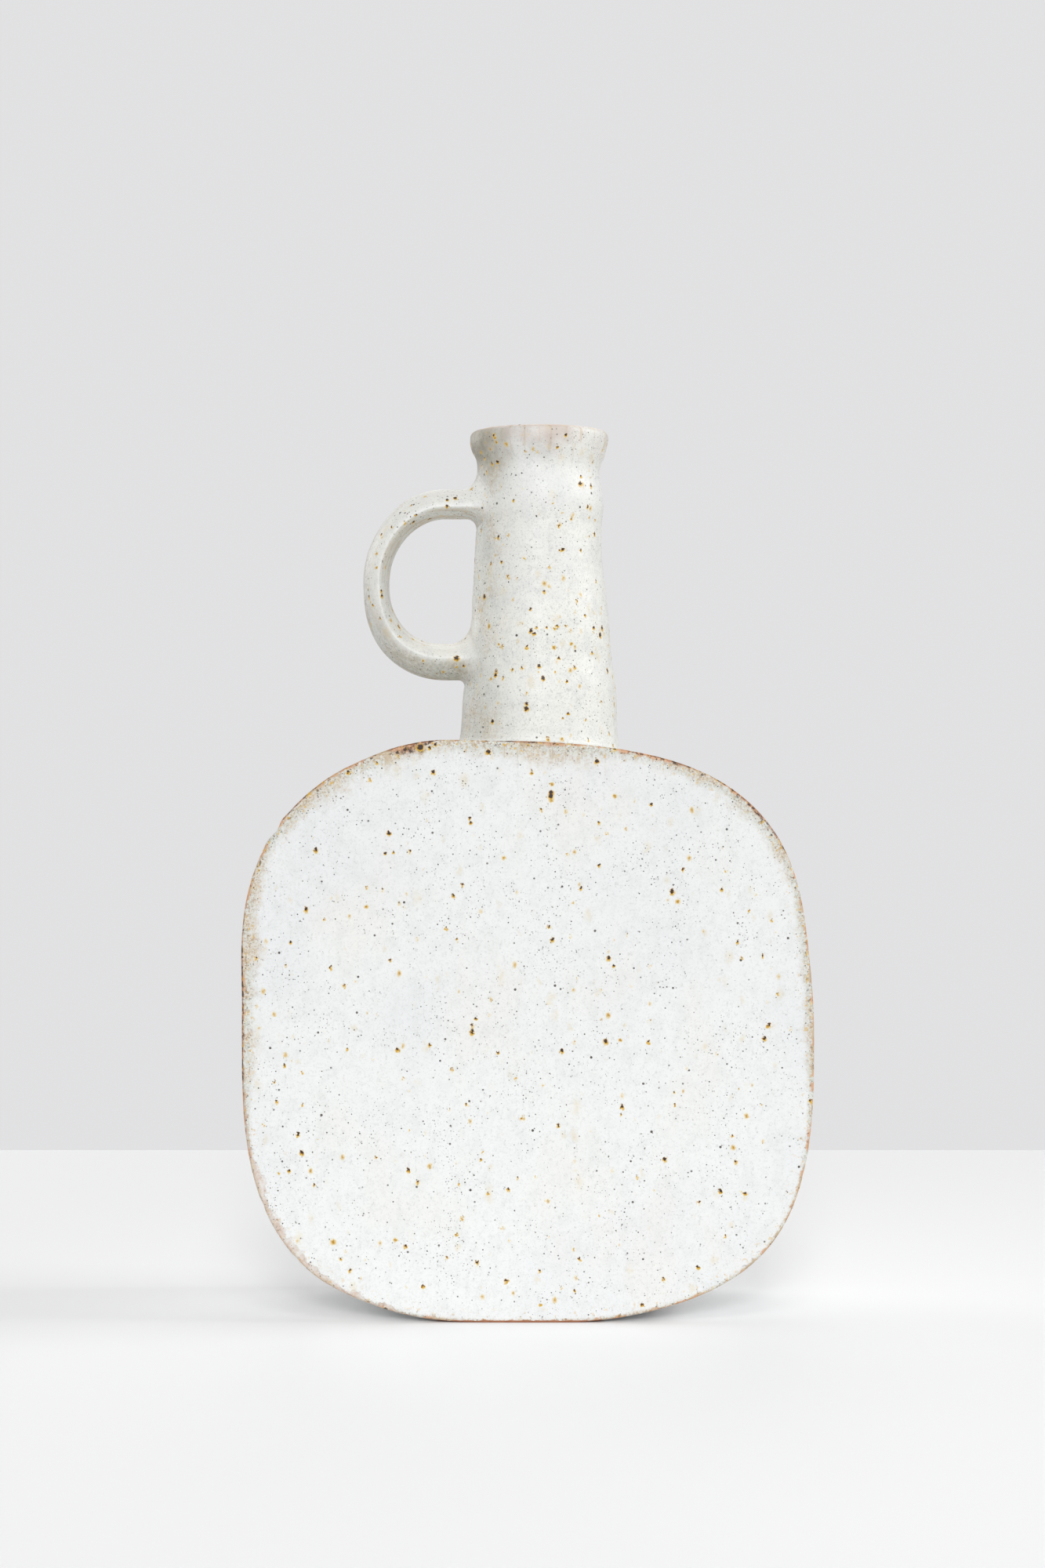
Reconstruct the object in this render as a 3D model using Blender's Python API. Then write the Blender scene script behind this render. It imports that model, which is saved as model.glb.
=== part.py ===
"""Stoneware vase: a rounded-square drum that stands on its edge, with a thrown neck and a ring handle.

The clay pieces are kept apart as they were before they were luted together: two slabs, four wall
strips, two seam coils inside, the neck with its joint coil, and the handle with its two collars.
Metres, +Z up, front face towards -Y. The origin is on the ground, under the middle of the drum.
"""
import math

import bmesh
import bpy
import numpy as np
from mathutils import Vector

# The drum's outline, seen from the front
DRUM_HALF_WIDTH = 0.1265
DRUM_HEIGHT = 0.2570
DRUM_MIDDLE = 0.1250
FOOT_TRIM = 0.0003
TOP_RIGHT_SQUARENESS = 2.90
TOP_LEFT_SQUARENESS = 3.05
LOW_LEFT_SQUARENESS = 2.97
LOW_RIGHT_SQUARENESS = 3.00

# Where the hand-cut outline swells or is shaved: direction, rise in knife strokes, half spread
KNIFE_STROKE = 0.0010
HAND_CUT_SWELLS = (
    (19.0, -1.1, 18.0),
    (66.0, -2.3, 31.0),
    (109.5, 1.7, 14.0),
    (152.0, 2.3, 23.0),
    (238.0, -0.8, 12.0),
    (301.0, -2.1, 25.0),
)

# The drum's clay
DRUM_DEPTH = 0.0920
SLAB_THICKNESS = 0.0070
WALL_THICKNESS = 0.0075
ARRIS_RADIUS = 0.0012
SLIP_GAP = 0.0003
SEAM_COIL_LEG = 0.0070
COIL_EDGE = 0.0010
SHOULDER_RIGHT_SEAM_ANGLE = math.radians(52.0)
SHOULDER_LEFT_SEAM_ANGLE = math.radians(128.0)
BASE_LEFT_SEAM_ANGLE = math.radians(232.0)
BASE_RIGHT_SEAM_ANGLE = math.radians(308.0)

# The neck, which tapers to a straight waist and flares again into a band with a rolled lip
NECK_OFFSET = 0.0053
NECK_HEIGHT = 0.1420
NECK_LEDGE = 0.0096
NECK_WAIST_RADIUS = 0.0282
NECK_WAIST_LENGTH = 0.0190
NECK_TAPER = 1.15
NECK_WALL = 0.0062
NECK_SETTLE = 0.0300
RIM_RADIUS = 0.0316
RIM_BAND = 0.0050
RIM_FLARE = 0.0130
LIP_THICKNESS = 0.0068
LIP_CROWN = 0.0030
JOINT_COIL_LEG = 0.0030

# The handle: a strap with a level run at each end and a bend between them
HANDLE_BELOW_RIM = 0.0353
HANDLE_ABOVE_FOOT = 0.0378
HANDLE_STRAIGHT = 0.0100
HANDLE_BEND_REACH = 0.0299
HANDLE_TOP_ROUNDNESS = 1.95
HANDLE_LOW_ROUNDNESS = 2.20
HANDLE_HALF_WIDTH = 0.0130
HANDLE_OUTER_CROWNS = {"top": 0.0090, "side": 0.0076, "low": 0.0095}
HANDLE_INNER_CROWNS = {"top": 0.0047, "side": 0.0043, "low": 0.0073}
HANDLE_END_DEPTH = 0.0100
COLLAR_LENGTH = 0.0080
COLLAR_FLARE = 0.0055

# How finely the round forms are faceted
OUTLINE_STEPS = 120
STRIP_STEPS = 26
NECK_STEPS = 48
TAPER_STEPS = 9
FLARE_STEPS = 4
BORE_STEPS = 5
LIP_STEPS = 6
BEND_STEPS = 24
RUN_STEPS = 3
SECTION_STEPS = 16
COLLAR_STEPS = 5

SMOOTH_ANGLE = math.radians(35.0)
TANGENT_STEP = math.radians(0.5)

SLAB_INNER_FACE = DRUM_DEPTH / 2 - SLAB_THICKNESS
STRIP_HALF_DEPTH = SLAB_INNER_FACE - SLIP_GAP
FLARE_START = NECK_HEIGHT - RIM_BAND - RIM_FLARE
TAPER_HEIGHT = FLARE_START - NECK_WAIST_LENGTH
NECK_FOOT_RADIUS = DRUM_DEPTH / 2 - NECK_LEDGE
BORE_FOOT_RADIUS = NECK_FOOT_RADIUS - NECK_WALL
HANDLE_TOP_RUN = NECK_HEIGHT - HANDLE_BELOW_RIM
HANDLE_LOW_RUN = HANDLE_ABOVE_FOOT
COLLAR_EDGE_GROWTH = COIL_EDGE + SLIP_GAP


def make_finish(name, colour, roughness):
    """A plain glaze or bare fired clay."""
    finish = bpy.data.materials.new(name)
    finish.use_nodes = True
    shader = finish.node_tree.nodes["Principled BSDF"]
    shader.inputs["Base Color"].default_value = (*colour, 1.0)
    shader.inputs["Roughness"].default_value = roughness
    shader.inputs["Metallic"].default_value = 0.0
    return finish


def add_object(name, edit):
    """Turn an edited mesh into a named object with its faces pointing out."""
    bmesh.ops.recalc_face_normals(edit, faces=edit.faces)
    mesh = bpy.data.meshes.new(name)
    edit.to_mesh(mesh)
    edit.free()
    made = bpy.data.objects.new(name, mesh)
    bpy.context.scene.collection.objects.link(made)
    return made


def add_piece(name, edit, finish):
    """A clay piece, smooth where it is round."""
    piece = add_object(name, edit)
    piece.data.shade_smooth()
    piece.data.set_sharp_from_angle(angle=SMOOTH_ANGLE)
    piece.data.materials.append(finish)
    return piece


def add_cutter(name, edit):
    """A solid that is never seen and only cuts others."""
    cutter = add_object(name, edit)
    cutter.hide_render = True
    cutter.display_type = "WIRE"
    return cutter


def cut(piece, cutter):
    """Cut one solid out of another."""
    modifier = piece.modifiers.new(cutter.name, "BOOLEAN")
    modifier.operation = "DIFFERENCE"
    modifier.solver = "EXACT"
    modifier.object = cutter


def add_loop(edit, points):
    """A closed loop of edges through some points."""
    verts = [edit.verts.new(point) for point in points]
    return [edit.edges.new((verts[i - 1], verts[i])) for i in range(len(verts))]


def skin(edit, rings, closed):
    """Skin a run of rings with as many points each, and either close the run on itself or cap its ends."""
    loops = [[edit.verts.new(point) for point in ring] for ring in rings]
    followers = loops[1:] + loops[:1] if closed else loops[1:]
    for loop, follower in zip(loops, followers):
        for i in range(len(loop)):
            edit.faces.new((loop[i - 1], loop[i], follower[i], follower[i - 1]))
    if not closed:
        edit.faces.new(loops[0])
        edit.faces.new(loops[-1])


def turn(edit, profile):
    """Turn a closed profile of radius and height about the neck's axis."""
    loop = add_loop(edit, [(NECK_OFFSET + radius, 0.0, height) for radius, height in profile])
    bmesh.ops.spin(edit, geom=list(edit.verts) + loop, cent=(NECK_OFFSET, 0.0, 0.0), axis=(0.0, 0.0, 1.0),
                   dvec=(0.0, 0.0, 0.0), angle=2.0 * math.pi, steps=NECK_STEPS, use_merge=True)


def push_out(edit, points, near_y, far_y):
    """Push a flat face through the drum's depth, from one depth to another."""
    face = edit.faces.new([edit.verts.new((point.x, near_y, point.z)) for point in points])
    rim = list(face.edges)
    moved = bmesh.ops.extrude_face_region(edit, geom=[face])["geom"]
    far_verts = [item for item in moved if isinstance(item, bmesh.types.BMVert)]
    bmesh.ops.translate(edit, verts=far_verts, vec=(0.0, far_y - near_y, 0.0))
    return rim


def corner_squareness(across, up):
    """How square the outline's corner is in the quarter that a direction points to."""
    if up > 0:
        return TOP_RIGHT_SQUARENESS if across > 0 else TOP_LEFT_SQUARENESS
    return LOW_RIGHT_SQUARENESS if across > 0 else LOW_LEFT_SQUARENESS


def swell_rise(angle):
    """How far the hand-cut edge stands out from the even outline in one direction."""
    rise = 0.0
    for direction, strokes, spread in HAND_CUT_SWELLS:
        away = abs((math.degrees(angle) - direction + 180.0) % 360.0 - 180.0)
        if away < spread:
            rise += strokes * KNIFE_STROKE * math.cos(0.5 * math.pi * away / spread) ** 2
    return rise


def oval_radius(across, up, half_width, half_height, power):
    """The distance from an oval's middle to its edge, from a round oval at 2 to a squarer one."""
    return (abs(across / half_width) ** power + abs(up / half_height) ** power) ** (-1.0 / power)


def outline_edge(angle):
    """The cut edge in one direction from the drum's middle, before the foot is trimmed flat."""
    across = math.cos(angle)
    up = math.sin(angle)
    half_height = DRUM_HEIGHT - DRUM_MIDDLE if up > 0 else DRUM_MIDDLE + FOOT_TRIM
    radius = oval_radius(across, up, DRUM_HALF_WIDTH, half_height, corner_squareness(across, up))
    radius += swell_rise(angle)
    return Vector((radius * across, 0.0, DRUM_MIDDLE + radius * up))


def outline_point(angle, inset=0.0):
    """A point of the outline, moved in square to the edge, over a foot that is trimmed flat."""
    along = outline_edge(angle + TANGENT_STEP) - outline_edge(angle - TANGENT_STEP)
    inward = Vector((-along.z, 0.0, along.x)).normalized()
    point = outline_edge(angle) + inward * inset
    point.z = max(point.z, inset)
    return point


def outline_ring(inset=0.0):
    """The whole outline, moved in by the inset."""
    return [outline_point(2.0 * math.pi * step / OUTLINE_STEPS, inset) for step in range(OUTLINE_STEPS)]


def top_edge():
    """The upper half of the outline, from left to right."""
    return [outline_point(math.pi * step / OUTLINE_STEPS) for step in range(OUTLINE_STEPS, -1, -1)]


TOP_EDGE_X = [point.x for point in top_edge()]
TOP_EDGE_Z = [point.z for point in top_edge()]


def shoulder_height(x):
    """The height of the drum's shoulder at one place across its width."""
    return float(np.interp(x, TOP_EDGE_X, TOP_EDGE_Z))


NECK_FOOT_LEVEL = shoulder_height(NECK_OFFSET) + SLIP_GAP


def hollow_corner(along, up, leg, blunt):
    """The hollow face of a small fillet in a corner, between its two blunt edges."""
    middle = leg * (1.0 - math.cos(math.radians(45.0))) + blunt / 2
    return [(along, up + leg), (along + blunt, up + leg), (along + middle, up + middle),
            (along + leg, up + blunt), (along + leg, up)]


def make_slab(name, side, finish):
    """A rolled slab cut to the outline, with the arris round its outer face eased."""
    edit = bmesh.new()
    arris = push_out(edit, outline_ring(), side * DRUM_DEPTH / 2, side * SLAB_INNER_FACE)
    bmesh.ops.bevel(edit, geom=arris, offset=ARRIS_RADIUS, segments=2, profile=0.5, affect="EDGES",
                    material=-1)
    return add_piece(name, edit, finish)


def seam_turn(angle):
    """Half a seam's gap, as an angle about the drum's middle."""
    return 0.5 * SLIP_GAP / (outline_edge(angle) - Vector((0.0, 0.0, DRUM_MIDDLE))).length


def make_strip(name, start, end, finish):
    """A strip of the drum's wall between two butt seams."""
    angles = np.linspace(start + seam_turn(start), end - seam_turn(end), STRIP_STEPS + 1)
    outside = [outline_point(angle) for angle in angles]
    inside = [outline_point(angle, WALL_THICKNESS) for angle in reversed(angles)]
    edit = bmesh.new()
    push_out(edit, outside + inside, -STRIP_HALF_DEPTH, STRIP_HALF_DEPTH)
    return add_piece(name, edit, finish)


def make_seam_coil(name, side, finish):
    """A coil of clay pressed into the inner corner between a slab and the wall."""
    corner_inset = WALL_THICKNESS + SLIP_GAP
    section = [(corner_inset, 0.0)] + hollow_corner(corner_inset, 0.0, SEAM_COIL_LEG, COIL_EDGE)
    loops = []
    for inset, rise in section:
        y = side * (STRIP_HALF_DEPTH - rise)
        loops.append([(point.x, y, point.z) for point in outline_ring(inset)])
    edit = bmesh.new()
    skin(edit, loops, closed=True)
    return add_piece(name, edit, finish)


def cut_neck_hole(strip):
    """Open the shoulder under the neck, as wide as the neck's bore."""
    edit = bmesh.new()
    bmesh.ops.create_cone(edit, cap_ends=True, segments=NECK_STEPS, radius1=BORE_FOOT_RADIUS,
                          radius2=BORE_FOOT_RADIUS, depth=2.0 * DRUM_DEPTH)
    bmesh.ops.translate(edit, verts=edit.verts, vec=(NECK_OFFSET, 0.0, NECK_FOOT_LEVEL))
    cut(strip, add_cutter("neck_hole_cutter", edit))


def neck_radius(height):
    """The neck's outer radius at a height above its foot."""
    if height < TAPER_HEIGHT:
        left = 1.0 - max(height, 0.0) / TAPER_HEIGHT
        return NECK_WAIST_RADIUS + (NECK_FOOT_RADIUS - NECK_WAIST_RADIUS) * left ** NECK_TAPER
    share = min(max((height - FLARE_START) / RIM_FLARE, 0.0), 1.0)
    return NECK_WAIST_RADIUS + (RIM_RADIUS - NECK_WAIST_RADIUS) * share * share * (3.0 - 2.0 * share)


def neck_heights():
    """The heights of the neck's rings above its foot, up to the band below the lip."""
    taper = [TAPER_HEIGHT * step / TAPER_STEPS for step in range(TAPER_STEPS + 1)]
    flare = [FLARE_START + RIM_FLARE * step / FLARE_STEPS for step in range(FLARE_STEPS + 1)]
    return taper + flare


def settle_on_shoulder(edit):
    """Bend the lowest stretch of a turned form down onto the drum's curved shoulder."""
    for vert in edit.verts:
        share = max(0.0, 1.0 - vert.co.z / NECK_SETTLE)
        drop = shoulder_height(vert.co.x) + SLIP_GAP - NECK_FOOT_LEVEL
        vert.co.z += NECK_FOOT_LEVEL + drop * share


def lip_profile():
    """The rolled lip, from its outer side over the crest to the mouth."""
    half = LIP_THICKNESS / 2
    points = []
    for step in range(LIP_STEPS + 1):
        angle = math.pi * step / LIP_STEPS
        rise = LIP_CROWN * (math.sin(angle) - 1.0)
        points.append((RIM_RADIUS - half + half * math.cos(angle), NECK_HEIGHT + rise))
    return points


def make_neck(finish):
    """The thrown neck: a tapering tube that flares into a band with a rolled lip."""
    falling = [FLARE_START * (BORE_STEPS - step) / BORE_STEPS for step in range(BORE_STEPS + 1)]
    profile = [(neck_radius(height), height) for height in neck_heights()]
    profile += lip_profile()
    profile += [(neck_radius(height) - NECK_WALL, height) for height in falling]
    edit = bmesh.new()
    turn(edit, profile)
    settle_on_shoulder(edit)
    return add_piece("neck", edit, finish)


def make_joint_coil(finish):
    """The thin coil that lutes the neck's foot to the shoulder."""
    foot = neck_radius(0.0) + SLIP_GAP
    profile = [(foot, 0.0)] + hollow_corner(foot, 0.0, JOINT_COIL_LEG, COIL_EDGE)
    edit = bmesh.new()
    turn(edit, profile)
    settle_on_shoulder(edit)
    return add_piece("neck_joint_coil", edit, finish)


def make_neck_cutter():
    """The neck as a solid, wider by the slip gap, to fit what is luted onto it."""
    axis_foot = Vector((NECK_OFFSET, 0.0, NECK_FOOT_LEVEL))
    turns = [2.0 * math.pi * step / NECK_STEPS for step in range(NECK_STEPS)]
    rings = []
    for height in neck_heights() + [NECK_HEIGHT]:
        radius = neck_radius(height) + SLIP_GAP
        rings.append([axis_foot + Vector((radius * math.cos(angle), radius * math.sin(angle), height))
                      for angle in turns])
    edit = bmesh.new()
    skin(edit, rings, closed=False)
    return add_cutter("neck_cutter", edit)


def crown_at(crowns, lift):
    """A crown of the strap, where lift is 1 on its top run, 0 at its side and -1 on its low run."""
    end = crowns["top"] if lift > 0 else crowns["low"]
    return crowns["side"] + (end - crowns["side"]) * lift * lift


def strap_section(middle, outward, lift, grow=0.0):
    """One ring of the strap: a lens with a fuller crown on the outside of the bend."""
    points = []
    for step in range(SECTION_STEPS):
        angle = 2.0 * math.pi * step / SECTION_STEPS
        crowns = HANDLE_OUTER_CROWNS if math.sin(angle) > 0 else HANDLE_INNER_CROWNS
        rise = (crown_at(crowns, lift) + grow) * math.sin(angle)
        across = (HANDLE_HALF_WIDTH + grow) * math.cos(angle)
        points.append(middle + outward * rise + Vector((0.0, across, 0.0)))
    return points


def run_level(lift):
    """The height of the strap's middle on its top or its low run."""
    return NECK_FOOT_LEVEL + (HANDLE_TOP_RUN if lift > 0 else HANDLE_LOW_RUN)


def run_rings(lift, start_x, end_x, steps, grow=0.0):
    """Rings along a level run of the strap."""
    outward = Vector((0.0, 0.0, lift))
    places = [Vector((x, 0.0, run_level(lift))) for x in np.linspace(start_x, end_x, steps + 1)]
    return [strap_section(place, outward, lift, grow) for place in places]


def neck_side(lift):
    """Where the neck's left side stands at the height of one of the strap's runs."""
    return NECK_OFFSET - neck_radius(run_level(lift) - NECK_FOOT_LEVEL)


def bend_start():
    """Where the strap leaves its level runs."""
    return neck_side(-1.0) - HANDLE_STRAIGHT


def bend_point(angle):
    """The strap's middle on its bend, between its two level runs."""
    across = math.cos(angle)
    up = math.sin(angle)
    half_height = (HANDLE_TOP_RUN - HANDLE_LOW_RUN) / 2
    power = HANDLE_TOP_ROUNDNESS if up > 0 else HANDLE_LOW_ROUNDNESS
    radius = oval_radius(across, up, HANDLE_BEND_REACH, half_height, power)
    level = (run_level(1.0) + run_level(-1.0)) / 2
    return Vector((bend_start() + radius * across, 0.0, level + radius * up))


def bend_rings(grow=0.0):
    """Rings round the strap's bend, from the top run to the low run."""
    rings = []
    for step in range(1, BEND_STEPS):
        angle = 0.5 * math.pi + math.pi * step / BEND_STEPS
        along = bend_point(angle + TANGENT_STEP) - bend_point(angle - TANGENT_STEP)
        outward = Vector((along.z, 0.0, -along.x)).normalized()
        rings.append(strap_section(bend_point(angle), outward, math.sin(angle), grow))
    return rings


def strap_rings(grow=0.0):
    """The whole strap, from inside the neck's side round to inside it again."""
    top = run_rings(1.0, neck_side(1.0) + HANDLE_END_DEPTH, bend_start(), RUN_STEPS, grow)
    low = run_rings(-1.0, bend_start(), neck_side(-1.0) + HANDLE_END_DEPTH, RUN_STEPS, grow)
    return top + bend_rings(grow) + low


def make_handle(neck_cutter, finish):
    """The pulled strap, cut to fit the neck at both ends."""
    edit = bmesh.new()
    skin(edit, strap_rings(), closed=False)
    handle = add_piece("handle", edit, finish)
    cut(handle, neck_cutter)
    return handle


def make_strap_cutter():
    """The strap, grown by the slip gap, to open the collars."""
    edit = bmesh.new()
    skin(edit, strap_rings(SLIP_GAP), closed=False)
    return add_cutter("strap_cutter", edit)


def make_collar(name, lift, neck_cutter, strap_cutter, finish):
    """A collar of clay smoothed round one end of the strap, hollow towards the neck."""
    root_x = neck_side(lift)
    outward = Vector((0.0, 0.0, lift))
    rings = []
    for step in range(COLLAR_STEPS + 1):
        share = step / COLLAR_STEPS
        flare = COLLAR_EDGE_GROWTH + COLLAR_FLARE * (1.0 - math.sqrt(1.0 - share * share))
        place = Vector((root_x - COLLAR_LENGTH * (1.0 - share), 0.0, run_level(lift)))
        rings.append(strap_section(place, outward, lift, flare))
    inside = Vector((root_x + HANDLE_END_DEPTH - SLIP_GAP, 0.0, run_level(lift)))
    rings.append(strap_section(inside, outward, lift, COLLAR_EDGE_GROWTH + COLLAR_FLARE))
    edit = bmesh.new()
    skin(edit, rings, closed=False)
    collar = add_piece(name, edit, finish)
    cut(collar, strap_cutter)
    cut(collar, neck_cutter)
    return collar


def main():
    """Build every piece of the vase."""
    for item in list(bpy.data.objects):
        bpy.data.objects.remove(item)
    slab_glaze = make_finish("slab_glaze", (0.80, 0.81, 0.78), 0.45)
    wall_glaze = make_finish("wall_glaze", (0.78, 0.76, 0.71), 0.50)
    neck_glaze = make_finish("neck_glaze", (0.79, 0.77, 0.72), 0.42)
    handle_glaze = make_finish("handle_glaze", (0.78, 0.76, 0.70), 0.42)
    bare_clay = make_finish("bare_clay", (0.55, 0.42, 0.32), 0.85)
    full_turn = 2.0 * math.pi
    make_slab("front_slab", -1.0, slab_glaze)
    make_slab("back_slab", 1.0, slab_glaze)
    make_strip("base_strip", BASE_LEFT_SEAM_ANGLE, BASE_RIGHT_SEAM_ANGLE, bare_clay)
    make_strip("left_wall_strip", SHOULDER_LEFT_SEAM_ANGLE, BASE_LEFT_SEAM_ANGLE, wall_glaze)
    make_strip("right_wall_strip", BASE_RIGHT_SEAM_ANGLE, SHOULDER_RIGHT_SEAM_ANGLE + full_turn, wall_glaze)
    shoulder = make_strip("shoulder_strip", SHOULDER_RIGHT_SEAM_ANGLE, SHOULDER_LEFT_SEAM_ANGLE, wall_glaze)
    cut_neck_hole(shoulder)
    make_seam_coil("front_seam_coil", -1.0, bare_clay)
    make_seam_coil("back_seam_coil", 1.0, bare_clay)
    make_neck(neck_glaze)
    make_joint_coil(neck_glaze)
    neck_cutter = make_neck_cutter()
    strap_cutter = make_strap_cutter()
    make_handle(neck_cutter, handle_glaze)
    make_collar("handle_upper_collar", 1.0, neck_cutter, strap_cutter, handle_glaze)
    make_collar("handle_lower_collar", -1.0, neck_cutter, strap_cutter, handle_glaze)


main()
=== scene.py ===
"""Dresses a slab-built stoneware vase: fine glazed surfaces over its solids, a pale table and soft light.

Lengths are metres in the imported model's own frame: +Z up, the front face towards -Y.
"""
import math
from functools import cached_property

import bmesh
import bpy
import numpy as np
from bpy.props import FloatProperty, FloatVectorProperty, PointerProperty
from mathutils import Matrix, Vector, noise


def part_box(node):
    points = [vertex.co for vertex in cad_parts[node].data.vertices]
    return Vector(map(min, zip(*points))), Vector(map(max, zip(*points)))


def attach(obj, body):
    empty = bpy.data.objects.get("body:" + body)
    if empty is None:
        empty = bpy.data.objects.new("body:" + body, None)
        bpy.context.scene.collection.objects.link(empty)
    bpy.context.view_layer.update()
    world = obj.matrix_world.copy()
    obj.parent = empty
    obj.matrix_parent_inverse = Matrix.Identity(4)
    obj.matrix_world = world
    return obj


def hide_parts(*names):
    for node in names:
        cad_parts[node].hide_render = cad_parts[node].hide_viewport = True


bl_info = {
    "name": "Stoneware Vase Finish",
    "version": (1, 0, 0),
    "blender": (4, 5, 0),
    "location": "3D View > Sidebar > Vase",
    "description": "Models and glazes a slab-built vase with a thrown neck and a strap handle",
    "category": "Add Mesh",
}

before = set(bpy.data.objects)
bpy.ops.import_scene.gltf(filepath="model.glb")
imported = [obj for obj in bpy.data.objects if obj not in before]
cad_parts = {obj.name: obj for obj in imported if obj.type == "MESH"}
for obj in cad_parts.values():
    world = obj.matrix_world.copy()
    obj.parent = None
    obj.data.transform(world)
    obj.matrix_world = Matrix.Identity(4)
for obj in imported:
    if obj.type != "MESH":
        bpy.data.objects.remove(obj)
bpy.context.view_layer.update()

FULL_TURN = 2.0 * math.pi
QUARTER_TURN = 0.5 * math.pi
SMALL_TURN = 0.01
ROOT = "root"

# How far the fine surfaces stay inside the solids, and the least reach of a mark in the glaze
HAIR = 0.00001

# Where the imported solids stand
FRONT_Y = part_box("front_slab")[0].y + HAIR
SEAM_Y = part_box("front_slab")[1].y
HALF_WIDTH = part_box("front_slab")[1].x
NECK_LOW, NECK_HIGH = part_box("neck")
HANDLE_LOW, HANDLE_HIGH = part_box("handle")
NECK_X = (NECK_LOW.x + NECK_HIGH.x) / 2
NECK_FOOT_RADIUS = (NECK_HIGH.x - NECK_LOW.x) / 2

# The drum's outline: its height, and how square each corner is
DRUM_HEIGHT = 0.2570
TOP_RIGHT_SQUARENESS = 2.90
TOP_LEFT_SQUARENESS = 3.05
LOW_LEFT_SQUARENESS = 2.97
LOW_RIGHT_SQUARENESS = 3.00

# Where the hand-cut outline swells or is shaved, and where the knife nicked the front slab's edge:
# direction in degrees, rise in millimetres, half spread; the nicks run out a little behind the slab
MILLIMETRE = 0.0010
HAND_CUT_SWELLS = (
    (19.0, -1.1, 18.0), (66.0, -2.3, 31.0), (109.5, 1.7, 14.0),
    (152.0, 2.3, 23.0), (238.0, -0.8, 12.0), (301.0, -2.1, 25.0),
)
NICK_DEPTH = 0.010
KNIFE_NICKS = (
    (137.9, 0.35, 1.4), (140.4, -0.90, 1.9), (143.2, 0.35, 1.6),
    (212.0, -0.35, 1.5), (223.5, -0.30, 1.2), (334.0, -0.30, 1.1),
)

# Marks of the kiln and the sponge round the edge: direction in degrees, strength, half spread
EDGE_MARKS = {
    "thinned": ((90.0, 1.0, 40.0), (50.0, 0.8, 35.0), (122.0, 1.0, 40.0), (168.0, 0.9, 42.0),
                (12.0, 0.45, 45.0)),
    "burnt": ((111.6, 1.7, 5.5), (92.0, 0.30, 14.0), (66.0, 0.50, 14.0), (45.0, 0.55, 14.0),
              (133.0, 0.25, 14.0), (176.0, 0.36, 34.0)),
    "wiped": ((216.0, 1.0, 30.0), (237.0, 1.0, 20.0), (196.0, 0.5, 22.0)),
}

# The largest spots on the front, piece by piece: across and up in millimetres, and their size
FACE_IRON = (
    (10.2, 234.0, 1.5), (10.0, 232.6, 1.6), (-41.6, 243.0, 1.2), (-79.4, 243.0, 1.0),
    (-61.4, 216.2, 1.2), (38.0, 157.6, 0.8), (35.6, 161.0, 1.3), (34.4, 124.2, 1.4),
    (-23.1, 134.4, 0.9), (104.4, 125.4, 1.1), (60.3, 72.2, 1.2), (95.8, 57.3, 1.1),
    (-105.4, 67.1, 0.9), (-104.7, 168.0, 0.9), (-47.5, 254.0, 2.0), (-43.5, 253.8, 1.0),
    (-40.8, 255.4, 0.8), (-17.6, 252.1, 1.3), (-25.8, 222.8, 0.8), (-25.2, 220.9, 0.9),
    (-62.9, 207.4, 0.9), (74.9, 24.6, 0.9),
)
FACE_AMBER = (
    (-86.0, 35.5, 1.5), (-58.5, 36.4, 1.1), (66.1, 185.8, 1.3), (90.6, 77.2, 1.2),
    (38.3, 232.3, 1.1), (40.7, 124.6, 1.0), (10.6, 237.5, 1.0), (10.3, 230.6, 1.3),
    (-71.4, 183.4, 1.0), (-10.7, 205.0, 1.1),
)
NECK_IRON = (
    (23.5, 373.0, 1.4), (23.9, 376.4, 0.8), (-0.6, 273.6, 1.0), (-0.7, 271.4, 1.4),
    (-19.6, 322.4, 1.4), (1.2, 306.2, 1.0), (2.8, 305.0, 1.0), (15.6, 342.8, 1.0),
    (5.0, 290.6, 1.0), (13.0, 308.6, 0.8), (23.8, 343.0, 0.8), (1.1, 316.0, 0.8),
    (18.0, 269.5, 0.8), (-14.4, 286.5, 1.0), (29.7, 308.2, 1.0), (17.0, 393.9, 1.0),
    (-15.9, 265.8, 1.0), (26.9, 362.5, 0.8), (-11.8, 337.6, 0.8), (-15.3, 394.3, 0.7),
)
NECK_AMBER = (
    (-15.2, 394.6, 0.8), (-14.8, 393.0, 0.9), (-14.2, 391.2, 0.9), (11.6, 298.7, 1.2),
    (19.5, 300.3, 1.0), (15.2, 257.6, 1.0),
)
HANDLE_IRON = (
    (-32.2, 294.9, 1.6), (-33.0, 367.5, 1.2), (-36.6, 366.6, 0.9), (-36.8, 363.7, 1.0),
    (-66.4, 325.5, 0.9), (-66.4, 351.4, 0.9), (-50.7, 359.6, 0.8), (-52.9, 364.5, 0.8),
    (-29.1, 291.5, 0.8),
)
HANDLE_AMBER = (
    (-68.7, 342.2, 1.0), (-68.7, 335.8, 0.9), (-47.4, 293.5, 0.9),
)

# Seams of the wall strips, as directions from the drum's middle in degrees
SHOULDER_RIGHT_SEAM = 52.0
SHOULDER_LEFT_SEAM = 128.0
BASE_LEFT_SEAM = 232.0
BASE_RIGHT_SEAM = 308.0

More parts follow.
